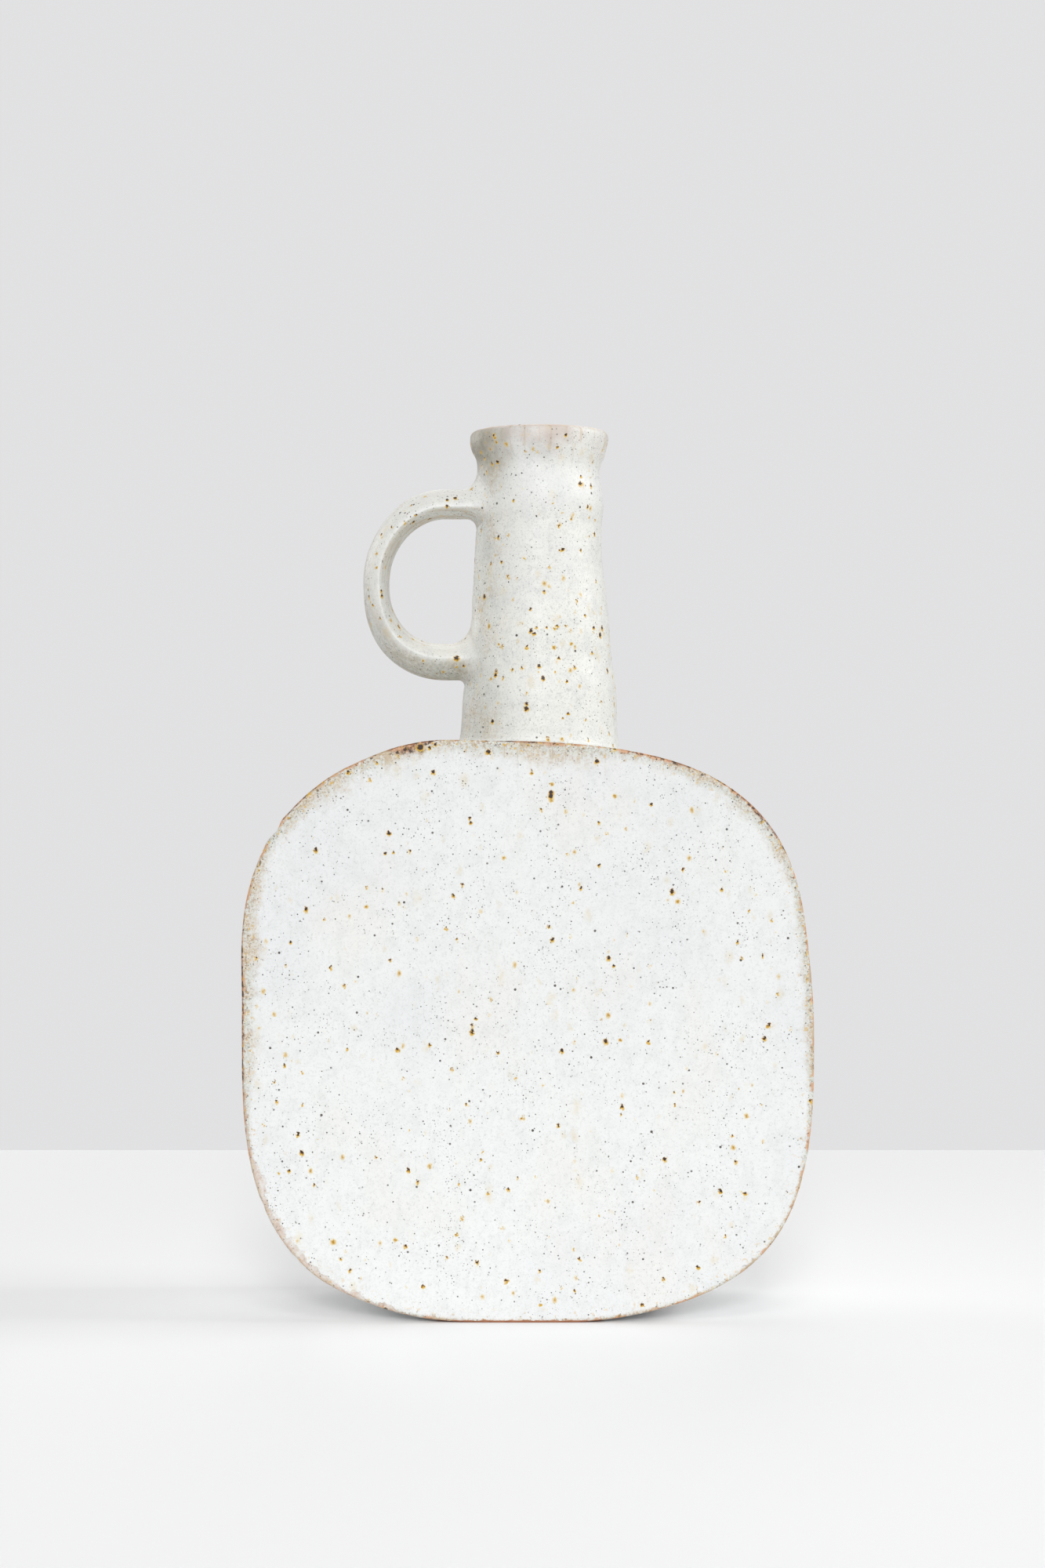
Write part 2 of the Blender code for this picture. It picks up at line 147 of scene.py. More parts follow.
# The wall's strips: piece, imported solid, first and last seam, and the record's name for its material
WALLS = (
    ("left_wall_glazed", "left_wall_strip", SHOULDER_LEFT_SEAM, BASE_LEFT_SEAM, "wall_glaze"),
    ("right_wall_glazed", "right_wall_strip", BASE_RIGHT_SEAM, SHOULDER_RIGHT_SEAM + 360.0, "wall_glaze"),
    ("base_fired", "base_strip", BASE_LEFT_SEAM, BASE_RIGHT_SEAM, "bare_clay"),
    ("shoulder_glazed", "shoulder_strip", SHOULDER_RIGHT_SEAM, SHOULDER_LEFT_SEAM, "wall_glaze"),
)

# Marks of the thrower's fingers: height above the neck's foot, rise in millimetres, half span, direction
# round the neck in degrees, where 0 is the right side, and how far round it they reach
THROWN_SWELLS = (
    (0.024, 0.90, 0.018, 0.0, 150.0),
    (0.083, -0.75, 0.023, 0.0, 110.0),
    (0.1085, 1.25, 0.011, -20.0, 130.0),
    (0.1225, -0.70, 0.008, 0.0, 110.0),
    (0.1345, -0.40, 0.005, 0.0, 120.0),
    (0.020, 0.35, 0.012, 180.0, 120.0),
    (0.057, -0.60, 0.010, 180.0, 80.0),
    (0.121, 0.35, 0.007, 180.0, 120.0),
    (0.1295, -0.50, 0.0045, 180.0, 150.0),
    (0.036, -0.30, 0.011, 270.0, 150.0),
    (0.052, 0.35, 0.014, 270.0, 120.0),
    (0.070, -0.25, 0.010, 240.0, 120.0),
    (0.090, 0.25, 0.012, 230.0, 110.0),
)

# The thrower's fine ridges to the metre of height, and how far the whole side wavers
FINGER_RIDGES = 210.0
THROWN_WANDER = 0.00022

# The noises of that wavering and of the ridges' strength: reach round the neck, shift, bumps to the metre
WAVER_NOISE = (0.9, 0.0, 26.0)
STRENGTH_NOISE = (0.6, 5.0, 30.0)

# How far from its lip and from its foot the neck's marks die away, and how far below the lip the bore's
# even side starts
LIP_EASE = 0.006
FOOT_EASE = 0.010
BORE_START = 0.018

# The wander of a cut edge: the share of each noise and its bumps to the metre; and how far up from the
# table it dies away
EDGE_WANDER = ((0.75, 90.0), (0.25, 420.0))
TABLE_EASE = 0.02

# How much closer the rings of a slab's sheet lie towards its edge, the bumps of its sag to the metre,
# and how steeply the sag dies away at the edge
RING_CROWDING = 1.5
SAG_BUMPS = 22.0
SAG_EASE = 12.0

# How the neck's taper slows towards the waist, where 1 is an even cone
TAPER_POWER = 1.15

# Radii of the fillets that blend the strap into the neck: outer side, inner side, and at its two edges
UPPER_FILLET = (0.0080, 0.0050, 0.0060)
LOWER_FILLET = (0.0030, 0.0085, 0.0060)

# How deep the first two rings of each end of the strap sit in the neck's wall
SEAT_DEPTHS = (0.0012, 0.0003)

# The strap's unevenness: where it starts across the vase, how soon it is full, its bumps to the metre,
# and the seed that makes it the same in each run
UNEVEN_FROM = -0.034
UNEVEN_SPAN = 0.010
UNEVEN_BUMPS = 55.0
UNEVEN_SEED = 1

# Ways that a surface can face, noted on the neck and the handle to place painted shade and a painted
# highlight
LEFTWARDS = Vector((-1.0, 0.0, 0.0))
FORWARDS = Vector((0.0, -1.0, 0.0))
DOWNWARDS = Vector((0.0, 0.0, -1.0))

# Edges that turn more than this stay sharp
SHARP_ANGLE = math.radians(40.0)

# How finely the surfaces are divided
FACE_RINGS = 76
ARRIS_RINGS = 8
EDGE_RINGS = 6
OUTLINE_STEPS = 720
WALL_DEPTH_STEPS = 30
NECK_STEPS = 192
NECK_RISE_STEPS = 118
LIP_STEPS = 16
BORE_RISE_STEPS = 36
STRAP_AROUND_STEPS = 80
BEND_STEPS = 100
RUN_STEPS = 8
TRUMPET_STEPS = 14

# The share of places that hold an iron or an amber spot in each glaze, and how sandy the glaze is
DRUM_SPECKS = {"iron": 0.21, "amber": 0.13, "sandy": 0.0}
NECK_SPECKS = {"iron": 0.68, "amber": 0.55, "sandy": 1.0}
HANDLE_SPECKS = {"iron": 0.45, "amber": 0.45, "sandy": 0.5}

# Pinholes: places for one to the metre, the share of them that is pricked more where pinholes crowd and the
# share pricked everywhere, the smallest and the largest radius, how dark they are and how deep
PINHOLES = (
    (950.0, 0.50, 0.00, 0.00018, 0.00030, 0.90, 0.00002),
    (560.0, 0.52, 0.18, 0.00020, 0.00040, 1.00, 0.00006),
    (250.0, 0.30, 0.22, 0.00028, 0.00068, 1.00, 0.00014),
)

# Places for a spot to the metre, how far its melted crust ran down, and what sets amber apart from iron
IRON_CELLS = 200.0
IRON_RUN = (0.0, 0.0, 0.00045)
AMBER_SHIFT = (0.31, 0.17, 0.43)

# How much sooner the streaks from the top edge end on the wall than on the face
STREAK_STOP = 3.0

# The table's paint: how rough it is, where a painted pool of light makes it palest, and how far from there
# it turns plain
TABLE_ROUGHNESS = 0.55
PAINTED_LIGHT_PLACE = (0.15, -0.12, 0.0)
PAINTED_LIGHT_REACH = 0.6

# The lamps: name, place, the point it faces, width, height and power in watts
LAMPS = (
    ("front", (0.0, -3.4, 1.6), (0.0, 0.0, 0.2), 0.8, 0.8, 52.0),
    ("front_high", (0.1, -2.4, 3.0), (0.0, 0.0, 0.2), 1.0, 1.0, 19.0),
    ("right", (2.0, 0.0, 1.3), (0.0, 0.0, 0.2), 0.6, 0.6, 16.0),
    ("back_high", (0.0, 1.8, 1.8), (0.0, 0.1, 0.0), 1.4, 1.4, 7.5),
    ("back_left", (-1.5, 1.1, 0.8), (-0.1, 0.0, 0.0), 1.2, 1.0, 8.5),
)

# The width of the camera's sensor in millimetres
SENSOR_WIDTH = 36.0

# The numbers of a Mix node's inputs and output when it mixes colours
MIX_FACTOR = 0
MIX_FIRST = 6
MIX_SECOND = 7
MIX_COLOUR = 2


def from_screen(red, green, blue):
    """A colour as a screen shows it, each part from 0 to 255, in the linear light that a shader takes."""
    return tuple(((part / 255.0 + 0.055) / 1.055) ** 2.4 for part in (red, green, blue))


def a_length(name, description, default):
    """A length that a user may change."""
    return FloatProperty(name=name, description=description, default=default, unit="LENGTH", precision=4)


def a_colour(name, description, default):
    """A colour that a user may change."""
    return FloatVectorProperty(name=name, description=description, default=default, subtype="COLOR",
                               size=3, min=0.0, max=1.0)


def a_number(name, description, default):
    """A plain number that a user may change."""
    return FloatProperty(name=name, description=description, default=default)


class VaseSizes(bpy.types.PropertyGroup):
    """Sizes of the glazed surfaces."""

    drum_middle: a_length("Drum middle", "Height of the drum's middle above the table", 0.1250)
    foot_trim: a_length("Foot trim", "How much of the outline is trimmed flat at the foot", 0.0003)
    arris_radius: a_length("Arris radius", "Roundness of the slabs' cut edges", 0.0012)
    wall_thickness: a_length("Wall thickness", "Thickness of the drum's wall strips", 0.0075)
    hand_wobble: a_length("Hand wobble", "How far the cut edge wanders from an even line", 0.00022)
    face_sag: a_length("Face sag", "How far the rolled slabs sink between their high spots", 0.00025)
    waist_radius: a_length("Waist radius", "Outer radius of the neck where it is slimmest", 0.0282)
    waist_length: a_length("Waist length", "Height of the neck's straight waist", 0.0190)
    neck_height: a_length("Neck height", "From the neck's foot to the top of the lip", 0.1420)
    neck_wall: a_length("Neck wall", "Thickness of the thrown neck", 0.0062)
    neck_settle: a_length("Neck settle", "Height over which the neck bends to sit on the shoulder", 0.0300)
    foot_fillet: a_length("Foot fillet", "Radius of the luted corner round the neck's foot", 0.0018)
    rim_radius: a_length("Rim radius", "Outer radius of the flared rim", 0.0316)
    rim_band: a_length("Rim band", "Height of the upright band under the lip", 0.0050)
    rim_flare: a_length("Rim flare", "Height over which the waist flares to the rim", 0.0130)
    lip_thickness: a_length("Lip thickness", "Thickness of the rolled lip", 0.0068)
    lip_crown: a_length("Lip crown", "How high the rolled lip is rounded", 0.0030)
    finger_ridge: a_length("Finger ridge", "Depth of the fine ridges on the neck", 0.00006)
    strap_half_width: a_length("Strap half width", "Half the width of the handle's strap", 0.0130)
    outer_top: a_length("Outer crown, top", "Rise of the strap's outer side on its top run", 0.0090)
    outer_side: a_length("Outer crown, side", "Rise of the strap's outer side where it turns", 0.0076)
    outer_low: a_length("Outer crown, low", "Rise of the strap's outer side on its low run", 0.0095)
    inner_top: a_length("Inner crown, top", "Rise of the strap's inner side on its top run", 0.0047)
    inner_side: a_length("Inner crown, side", "Rise of the strap's inner side where it turns", 0.0043)
    inner_low: a_length("Inner crown, low", "Rise of the strap's inner side on its low run", 0.0073)
    bend_reach: a_length("Bend reach", "How far the strap's bend stands out from its straight runs", 0.0299)
    bend_top_roundness: a_number("Upper bend roundness", "2 is an even oval and more is squarer", 1.95)
    bend_low_roundness: a_number("Lower bend roundness", "2 is an even oval and more is squarer", 2.20)
    strap_roundness: a_number("Strap roundness", "2 is an even oval and less has sharper edges", 1.55)
    strap_unevenness: a_length("Strap unevenness", "How far the pulled strap wanders", 0.00030)


class VaseGlaze(bpy.types.PropertyGroup):
    """Colours of the glaze, the iron in it and the clay under it."""

    white: a_colour("White", "Thick glaze on the faces", from_screen(241, 243, 242))
    warm_white: a_colour("Warm white", "Glaze on the neck and handle", from_screen(242, 242, 236))
    cloud: a_colour("Cloud", "Faint grey clouds in the glaze", from_screen(230, 232, 235))
    cream: a_colour("Cream", "Faint warm patches in the glaze", from_screen(240, 236, 226))
    mottle: a_colour("Mottle", "Fine grey mottling", from_screen(216, 219, 217))
    fleck: a_colour("Fleck", "Fine grey grain", from_screen(170, 172, 170))
    ash: a_colour("Ash", "Thin grey-green glaze below an edge", from_screen(200, 201, 186))
    beige: a_colour("Beige", "Thin glaze over the clay near an edge", from_screen(200, 181, 148))
    stain: a_colour("Stain", "Brown streaks that ran down from the top edge", from_screen(198, 178, 148))
    peach: a_colour("Peach", "Glaze that broke over an arris", from_screen(212, 160, 118))
    blush: a_colour("Blush", "Thin glaze on the rim", from_screen(206, 190, 180))
    # Painted shade as well as thin glaze: laid on the neck's left side and on the handle's shaded sides
    shade_on_thin_glaze: a_colour("Dusk", "Thinnest glaze on the rim's left", from_screen(160, 154, 138))
    wiped: a_colour("Wiped", "Clay where the glaze was sponged off", from_screen(211, 192, 178))
    rust: a_colour("Rust", "Burnt iron along an arris", from_screen(142, 86, 50))
    char: a_colour("Char", "Darkest iron", from_screen(40, 23, 8))
    amber: a_colour("Amber", "Crust round an iron spot", from_screen(216, 170, 30))
    ring: a_colour("Ring", "Brown ring round the core of an iron spot", from_screen(150, 98, 22))
    straw: a_colour("Straw", "Pale halo round an iron spot", from_screen(242, 226, 164))
    smudge: a_colour("Smudge", "Iron under the glaze", from_screen(224, 208, 168))
    pinhole: a_colour("Pinhole", "Floor of a pinhole", from_screen(80, 73, 66))
    bare_clay: a_colour("Bare clay", "Toasted clay of the foot", from_screen(186, 128, 98))
    inner_clay: a_colour("Inner clay", "Clay inside the drum", from_screen(200, 186, 168))


class VaseStage(bpy.types.PropertyGroup):
    """The table, the light and the camera."""

    table_half_width: a_length("Table half width", "Half the side of the square table", 0.5410)
    table_thickness: a_length("Table thickness", "Thickness of the table's top", 0.0300)
    table_colour: a_colour("Table colour", "Pale painted table", (0.915, 0.915, 0.92))
    # Painted light: the paler paint of the pool of light in the table's middle
    table_lit_middle: a_colour("Table middle", "Paint where the table is palest", (0.975, 0.975, 0.98))
    backdrop_colour: a_colour("Backdrop colour", "Pale grey beyond the table", (0.755, 0.755, 0.765))
    ambient: a_number("Ambient", "Strength of the even light from all round", 0.37)
    camera_distance: a_length("Camera distance", "From the camera to the drum's middle plane", 1.2916)
    camera_height: a_length("Camera height", "Height of the camera above the table", 0.2377)
    camera_aside: a_length("Camera aside", "Where the camera stands across the vase", -0.0024)
    lens: FloatProperty(name="Lens", description="Focal length in millimetres", default=64.8,
                        unit="CAMERA", min=1.0)


def sizes_now():
    """The sizes as the user has them."""
    return bpy.context.scene.vase_sizes


def held(value):
    """A value held between 0 and 1."""
    return min(max(value, 0.0), 1.0)


def nearness(angle, direction, spread):
    """1 in one direction from the drum's middle, falling smoothly to 0 at the end of its spread."""
    away = abs((math.degrees(angle) - direction + 180.0) % 360.0 - 180.0)
    if away >= spread:
        return 0.0
    return math.cos(QUARTER_TURN * away / spread) ** 2


def oval_radius(across, up, half_width, half_height, power):
    """The distance from an oval's middle to its edge, from a round oval at 2 to a squarer one."""
    return (abs(across / half_width) ** power + abs(up / half_height) ** power) ** (-1.0 / power)


def corner_squareness(across, up):
    """How square the outline's corner is in the quarter that a direction points to."""
    if up > 0:
        return TOP_RIGHT_SQUARENESS if across > 0 else TOP_LEFT_SQUARENESS
    return LOW_RIGHT_SQUARENESS if across > 0 else LOW_LEFT_SQUARENESS


def total_rise(angle, marks):
    """How far some swells or nicks lift the edge in one direction."""
    return sum(rise * MILLIMETRE * nearness(angle, direction, spread) for direction, rise, spread in marks)


def outline_radius(angle):
    """The drum's edge in one direction: the oval and its swells."""
    sizes = sizes_now()
    across = math.cos(angle)
    up = math.sin(angle)
    half_height = DRUM_HEIGHT - sizes.drum_middle if up > 0 else sizes.drum_middle + sizes.foot_trim
    radius = oval_radius(across, up, HALF_WIDTH, half_height, corner_squareness(across, up))
    return radius + total_rise(angle, HAND_CUT_SWELLS)


def outline_place(angle):
    """A point of the outline in the drum's middle plane."""
    radius = outline_radius(angle)
    return Vector((radius * math.cos(angle), 0.0, sizes_now().drum_middle + radius * math.sin(angle)))


class Outline:
    """The outline at even directions, with the direction square to the edge at each."""

    def __init__(self):
        self.angles = [FULL_TURN * step / OUTLINE_STEPS for step in range(OUTLINE_STEPS)]
        self.places = [outline_place(angle) for angle in self.angles]
        self.inward = []
        for i in range(OUTLINE_STEPS):
            along = self.places[(i + 1) % OUTLINE_STEPS] - self.places[i - 1]
            self.inward.append(Vector((-along.z, 0.0, along.x)).normalized())
        self.nicks = [total_rise(angle, KNIFE_NICKS) for angle in self.angles]
        top = sorted((place.x, place.z) for place in self.places if place.z > sizes_now().drum_middle)
        self.top_x = [x for x, z in top]
        self.top_z = [z for x, z in top]

    def point(self, step, inset, y):
        """A point of the drum's side, moved in from the edge, with the small wander of a hand-cut slab."""
        i = step % OUTLINE_STEPS
        place = self.places[i].copy()
        place.y = y
        wander = sum(share * noise.noise(place * bumps) for share, bumps in EDGE_WANDER)
        inset += sizes_now().hand_wobble * (0.5 + 0.5 * wander)
        inset -= self.nicks[i] * held(1.0 - (y - SEAM_Y) / NICK_DEPTH)
        place += self.inward[i] * inset
        sunk = place.z - sizes_now().hand_wobble
        near_foot = held(1.0 - place.z / TABLE_EASE)
        place.z = max(place.z + (sunk - place.z) * near_foot, 0.0)
        return place

    def height_at(self, x):
        """The height of the drum's shoulder at one place across its width."""
        return float(np.interp(x, self.top_x, self.top_z))


def seen_from_front(piece, spots):
    """Where spots listed in millimetres lie on the front of a piece, and their sizes."""
    bpy.context.view_layer.update()
    places = []
    for x, z, size in spots:
        start = (x * MILLIMETRE, 2.0 * FRONT_Y, z * MILLIMETRE)
        found, place, _, _ = piece.ray_cast(start, (0.0, 1.0, 0.0))
        if found:
            places.append((place, size))
    return places


def add_piece(name, edit, replaced):
    """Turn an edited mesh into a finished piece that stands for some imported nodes."""
    bmesh.ops.recalc_face_normals(edit, faces=edit.faces)
    mesh = bpy.data.meshes.new(name)
    edit.to_mesh(mesh)
    edit.free()
    mesh.shade_smooth()
    mesh.set_sharp_from_angle(angle=SHARP_ANGLE)
    piece = bpy.data.objects.new(name, mesh)
    bpy.context.scene.collection.objects.link(piece)
    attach(piece, ROOT)
    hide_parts(*replaced)
    return piece


def note_facing(piece, name, direction, start=0.0):
    """Note on each point of a piece how far it faces one way, from a given start up to 1."""
    facing = [vert.normal.dot(direction) + start for vert in piece.data.vertices]
    layer = piece.data.attributes.new(name, "FLOAT", "POINT")
    layer.data.foreach_set("value", np.clip(facing, 0.0, 1.0))


def lay_sheet(across, along, place):
    """A sheet of quads whose corner at each pair of step numbers is put where place() says."""
    edit = bmesh.new()
    bmesh.ops.create_grid(edit, x_segments=across, y_segments=along, size=1.0)
    for vert in edit.verts:
        column = round((vert.co.x + 1.0) * across / 2.0)
        row = round((vert.co.y + 1.0) * along / 2.0)
        vert.co = place(column, row)
    return edit


def close_up(edit):
    """Weld the edges of a rolled-up sheet and cap what stays open."""
    bmesh.ops.remove_doubles(edit, verts=edit.verts, dist=1e-6)
    rim = [edge for edge in edit.edges if edge.is_boundary]
    if rim:
        bmesh.ops.holes_fill(edit, edges=rim, sides=0)


def note_edges(piece, outline):
    """Note on each point of a drum piece how it lies to the arris, as attributes for the glaze."""
    middle = sizes_now().drum_middle
    facts = {"from_arris": [], "below_edge": []}
    facts.update({name: [] for name in EDGE_MARKS})
    for vert in piece.data.vertices:
        x, y, z = vert.co
        angle = math.atan2(z - middle, x) % FULL_TURN
        step = round(angle / FULL_TURN * OUTLINE_STEPS) % OUTLINE_STEPS
        inset = (vert.co - outline.places[step]).dot(outline.inward[step])
        behind = max(-FRONT_Y - abs(y), 0.0)
        facts["from_arris"].append(max(inset, behind))
        facts["below_edge"].append(max(outline.height_at(x) - z, 0.0) + STREAK_STOP * behind)
        for name, marks in EDGE_MARKS.items():
            facts[name].append(max(power * nearness(angle, turn, spread) for turn, power, spread in marks))
    for name, values in facts.items():
        layer = piece.data.attributes.new(name, "FLOAT", "POINT")
        layer.data.foreach_set("value", values)


def ring_and_step(column, row, rings):
    """Fold a square sheet's corner into a ring number and a step round the outline."""
    across = column - rings
    up = row - rings
    ring = max(abs(across), abs(up))
    if ring == 0:
        return 0, 0
    eighth = OUTLINE_STEPS / 8
    if abs(across) >= abs(up):
        step = eighth * up / across + (0 if across > 0 else 4 * eighth)
    else:
        step = 2 * eighth - eighth * across / up + (0 if up > 0 else 4 * eighth)
    return ring, step


def make_slab(name, node, side, outline):
    """A slab: its face, the eased arris round it and its cut edge, closed at the back."""
    sizes = sizes_now()
    arris = sizes.arris_radius
    rings = FACE_RINGS + ARRIS_RINGS + EDGE_RINGS

    def between_steps(step, inset, y):
        """A point of the side between two of the outline's steps."""
        low = math.floor(step)
        return outline.point(low, inset, y).lerp(outline.point(low + 1, inset, y), step - low)

    def place(column, row):
        """Where a corner of the sheet lies, from the face's middle over the arris to the back."""
        ring, step = ring_and_step(column, row, rings)
        if ring <= FACE_RINGS:
            share = 1.0 - (1.0 - ring / FACE_RINGS) ** RING_CROWDING
            middle = Vector((0.0, side * -FRONT_Y, sizes.drum_middle))
            point = middle.lerp(between_steps(step, arris, side * -FRONT_Y), share)
            sag = sizes.face_sag * (0.5 + 0.5 * noise.noise(point * SAG_BUMPS))
            point.y -= side * (sag * min(1.0, SAG_EASE * (1.0 - share)))
            return point
        if ring <= FACE_RINGS + ARRIS_RINGS:
            turn = QUARTER_TURN * (ring - FACE_RINGS) / ARRIS_RINGS
            inset = arris * (1.0 - math.sin(turn))
            return between_steps(step, inset, side * (-FRONT_Y - arris * (1.0 - math.cos(turn))))
        share = (ring - FACE_RINGS - ARRIS_RINGS) / EDGE_RINGS
        return between_steps(step, 0.0, side * (-FRONT_Y - arris + (FRONT_Y - SEAM_Y + arris) * share))

    edit = lay_sheet(2 * rings, 2 * rings, place)
    close_up(edit)
    slab = add_piece(name, edit, [node])
    note_edges(slab, outline)
    return slab


def make_wall(name, node, start, end, outline):
    """A strip of the drum's wall between two seams."""
    first = round(start / 360.0 * OUTLINE_STEPS)
    steps = round((end - start) / 360.0 * OUTLINE_STEPS)

    def place(column, row):
        """A point of the outer side, from one seam to the other and from the front to the back."""
        return outline.point(first + column, 0.0, SEAM_Y * (1.0 - 2.0 * row / WALL_DEPTH_STEPS))

    edit = lay_sheet(steps, WALL_DEPTH_STEPS, place)
    bmesh.ops.recalc_face_normals(edit, faces=edit.faces)
    middle = Vector((0.0, 0.0, sizes_now().drum_middle))
    face = edit.faces[:][0]
    outwards = face.normal.dot(face.calc_center_median() - middle) > 0
    thickness = sizes_now().wall_thickness
    bmesh.ops.solidify(edit, geom=edit.faces, thickness=thickness if outwards else -thickness)
    wall = add_piece(name, edit, [node])
    note_edges(wall, outline)
    return wall


def cut_neck_hole(shoulder):
    """Open the shoulder under the neck, as wide as the neck's bore."""
    radius = NECK_FOOT_RADIUS - sizes_now().neck_wall
    edit = bmesh.new()
    bmesh.ops.create_cone(edit, cap_ends=True, segments=NECK_STEPS, radius1=radius, radius2=radius,
                          depth=2.0 * sizes_now().neck_settle)
    bmesh.ops.translate(edit, verts=edit.verts, vec=(NECK_X, 0.0, DRUM_HEIGHT))
    mesh = bpy.data.meshes.new("neck_hole_cutter")
    edit.to_mesh(mesh)
    edit.free()
    cutter = bpy.data.objects.new("neck_hole_cutter", mesh)
    bpy.context.scene.collection.objects.link(cutter)
    opening = shoulder.modifiers.new("neck_hole", "BOOLEAN")
    opening.operation = "DIFFERENCE"
    opening.object = cutter
    evaluated = shoulder.evaluated_get(bpy.context.evaluated_depsgraph_get())
    shoulder.data = bpy.data.meshes.new_from_object(evaluated)
    shoulder.modifiers.clear()
    bpy.data.objects.remove(cutter)


def neck_radius(height):
    """The neck's outer radius at a height above its foot, before the marks of throwing."""
    sizes = sizes_now()
    flare_start = sizes.neck_height - sizes.rim_band - sizes.rim_flare
    taper_height = flare_start - sizes.waist_length
    if height < taper_height:
        left = 1.0 - max(height, 0.0) / taper_height
        return sizes.waist_radius + (NECK_FOOT_RADIUS - sizes.waist_radius) * left ** TAPER_POWER
    share = held((height - flare_start) / sizes.rim_flare)
    flare = sizes.rim_radius - sizes.waist_radius
    return sizes.waist_radius + flare * share * share * (3.0 - 2.0 * share)


def noise_round_neck(height, turn, reach, shift, bumps):
    """Noise that meets itself after a whole turn round the neck."""
    around = Vector((math.cos(turn), math.sin(turn), 0.0))
    return noise.noise(around * reach + Vector((shift, 0.0, height * bumps)))


def thrown_mark(height, turn):
    """How far the neck's side stands out at one place from the marks of throwing."""
    rise = 0.0
    for level, swell, span, side, reach in THROWN_SWELLS:
        away = abs(height - level) / span
        if away < 1.0:
            rise += swell * MILLIMETRE * math.cos(QUARTER_TURN * away) ** 2 * nearness(turn, side, reach)
    rise += THROWN_WANDER * noise_round_neck(height, turn, *WAVER_NOISE)
    spiral = height * FINGER_RIDGES + turn / FULL_TURN
    strength = 0.5 + 0.5 * noise_round_neck(height, turn, *STRENGTH_NOISE)
    return rise + sizes_now().finger_ridge * strength * math.sin(FULL_TURN * spiral)


def neck_surface(height, turn):
    """The neck's outer radius at a height and a turn, as its surface really runs."""
    lip_share = held((height - sizes_now().neck_height + LIP_EASE) / LIP_EASE)
    return neck_radius(height) + thrown_mark(height, turn) * (1.0 - lip_share)


def neck_foot_level():
    """The height of the neck's foot on its own axis."""
    return NECK_HIGH.z - sizes_now().neck_height


def settle(point, outline):
    """Bend the lowest stretch of the neck down onto the drum's curved shoulder."""
    share = max(0.0, 1.0 - max(point.z, 0.0) / sizes_now().neck_settle)
    drop = outline.height_at(point.x) - neck_foot_level()
    point.z += neck_foot_level() + drop * share


def neck_profile():
    """The closed profile of the neck as radius and height: fillet, side, rolled lip and bore."""
    sizes = sizes_now()
    fillet = sizes.foot_fillet
    profile = []
    for step in range(LIP_STEPS + 1):
        turn = QUARTER_TURN * step / LIP_STEPS
        profile.append((NECK_FOOT_RADIUS + fillet * (1.0 - math.sin(turn)),
                        fillet * (1.0 - math.cos(turn))))
    side_top = sizes.neck_height - sizes.lip_crown
    for step in range(1, NECK_RISE_STEPS):
        height = fillet + (side_top - fillet) * step / NECK_RISE_STEPS
        profile.append((neck_radius(height), height))
    half_lip = sizes.lip_thickness / 2
    for step in range(LIP_STEPS + 1):
        turn = math.pi * step / LIP_STEPS
        profile.append((sizes.rim_radius - half_lip + half_lip * math.cos(turn),
                        side_top + sizes.lip_crown * math.sin(turn)))
    bore_top = sizes.neck_height - BORE_START
    for step in range(BORE_RISE_STEPS + 1):
        height = bore_top * (1.0 - step / BORE_RISE_STEPS)
        profile.append((neck_radius(height) - sizes.neck_wall, height))
    return profile


def make_neck(outline):
    """The thrown neck, with the marks of fingers and the luted corner at its foot."""
    edit = bmesh.new()
    verts = [edit.verts.new((NECK_X + radius, 0.0, height)) for radius, height in neck_profile()]
    loop = [edit.edges.new((verts[i - 1], verts[i])) for i in range(len(verts))]
    bmesh.ops.spin(edit, geom=verts + loop, cent=(NECK_X, 0.0, 0.0), axis=(0.0, 0.0, 1.0),
                   dvec=(0.0, 0.0, 0.0), angle=FULL_TURN, steps=NECK_STEPS, use_merge=True)
    for vert in edit.verts:
        across = Vector((vert.co.x - NECK_X, vert.co.y))
        turn = math.atan2(across.y, across.x)
        height = vert.co.z
        marks = neck_surface(height, turn) - neck_radius(height)
        settled = held(height / FOOT_EASE)
        across *= 1.0 + marks * settled / across.length
        vert.co.x = NECK_X + across.x
        vert.co.y = across.y
        settle(vert.co, outline)
    neck = add_piece("neck_glazed", edit, ["neck", "neck_joint_coil"])
    # How far each point faces left, away from the lamps, where the glaze gets painted shade
    note_facing(neck, "turned_left", LEFTWARDS)
    return neck


def crown(lift, outer):
    """A crown of the strap, where lift is 1 on its top run, 0 at its side and -1 on its low run."""
    sizes = sizes_now()
    side = sizes.outer_side if outer else sizes.inner_side
    top = sizes.outer_top if outer else sizes.inner_top
    low = sizes.outer_low if outer else sizes.inner_low
    end = top if lift > 0 else low
    return side + (end - side) * lift * lift


def strap_offset(turn, lift):
    """How far one point of the strap's section lies outward and across from its middle."""
    bulge = 2.0 / sizes_now().strap_roundness
    up = math.copysign(abs(math.sin(turn)) ** bulge, math.sin(turn))
    across = math.copysign(abs(math.cos(turn)) ** bulge, math.cos(turn))
    return crown(lift, math.sin(turn) > 0) * up, sizes_now().strap_half_width * across


def run_level(lift):
    """The height of the strap's middle on its top or its low run."""
    if lift > 0:
        return HANDLE_HIGH.z - sizes_now().outer_top
    return HANDLE_LOW.z + sizes_now().outer_low


def neck_side_x(y, z):
    """Where the neck's left side stands at a place across and up."""
    height = z - neck_foot_level()
    radius = neck_surface(height, math.pi)
    turn = math.pi - math.asin(min(max(y / radius, -1.0), 1.0))
    radius = neck_surface(height, turn)
    return NECK_X - math.sqrt(max(radius * radius - y * y, 0.0))


def bend_start():
    """Where the strap leaves its level runs."""
    return HANDLE_LOW.x + sizes_now().outer_side + sizes_now().bend_reach


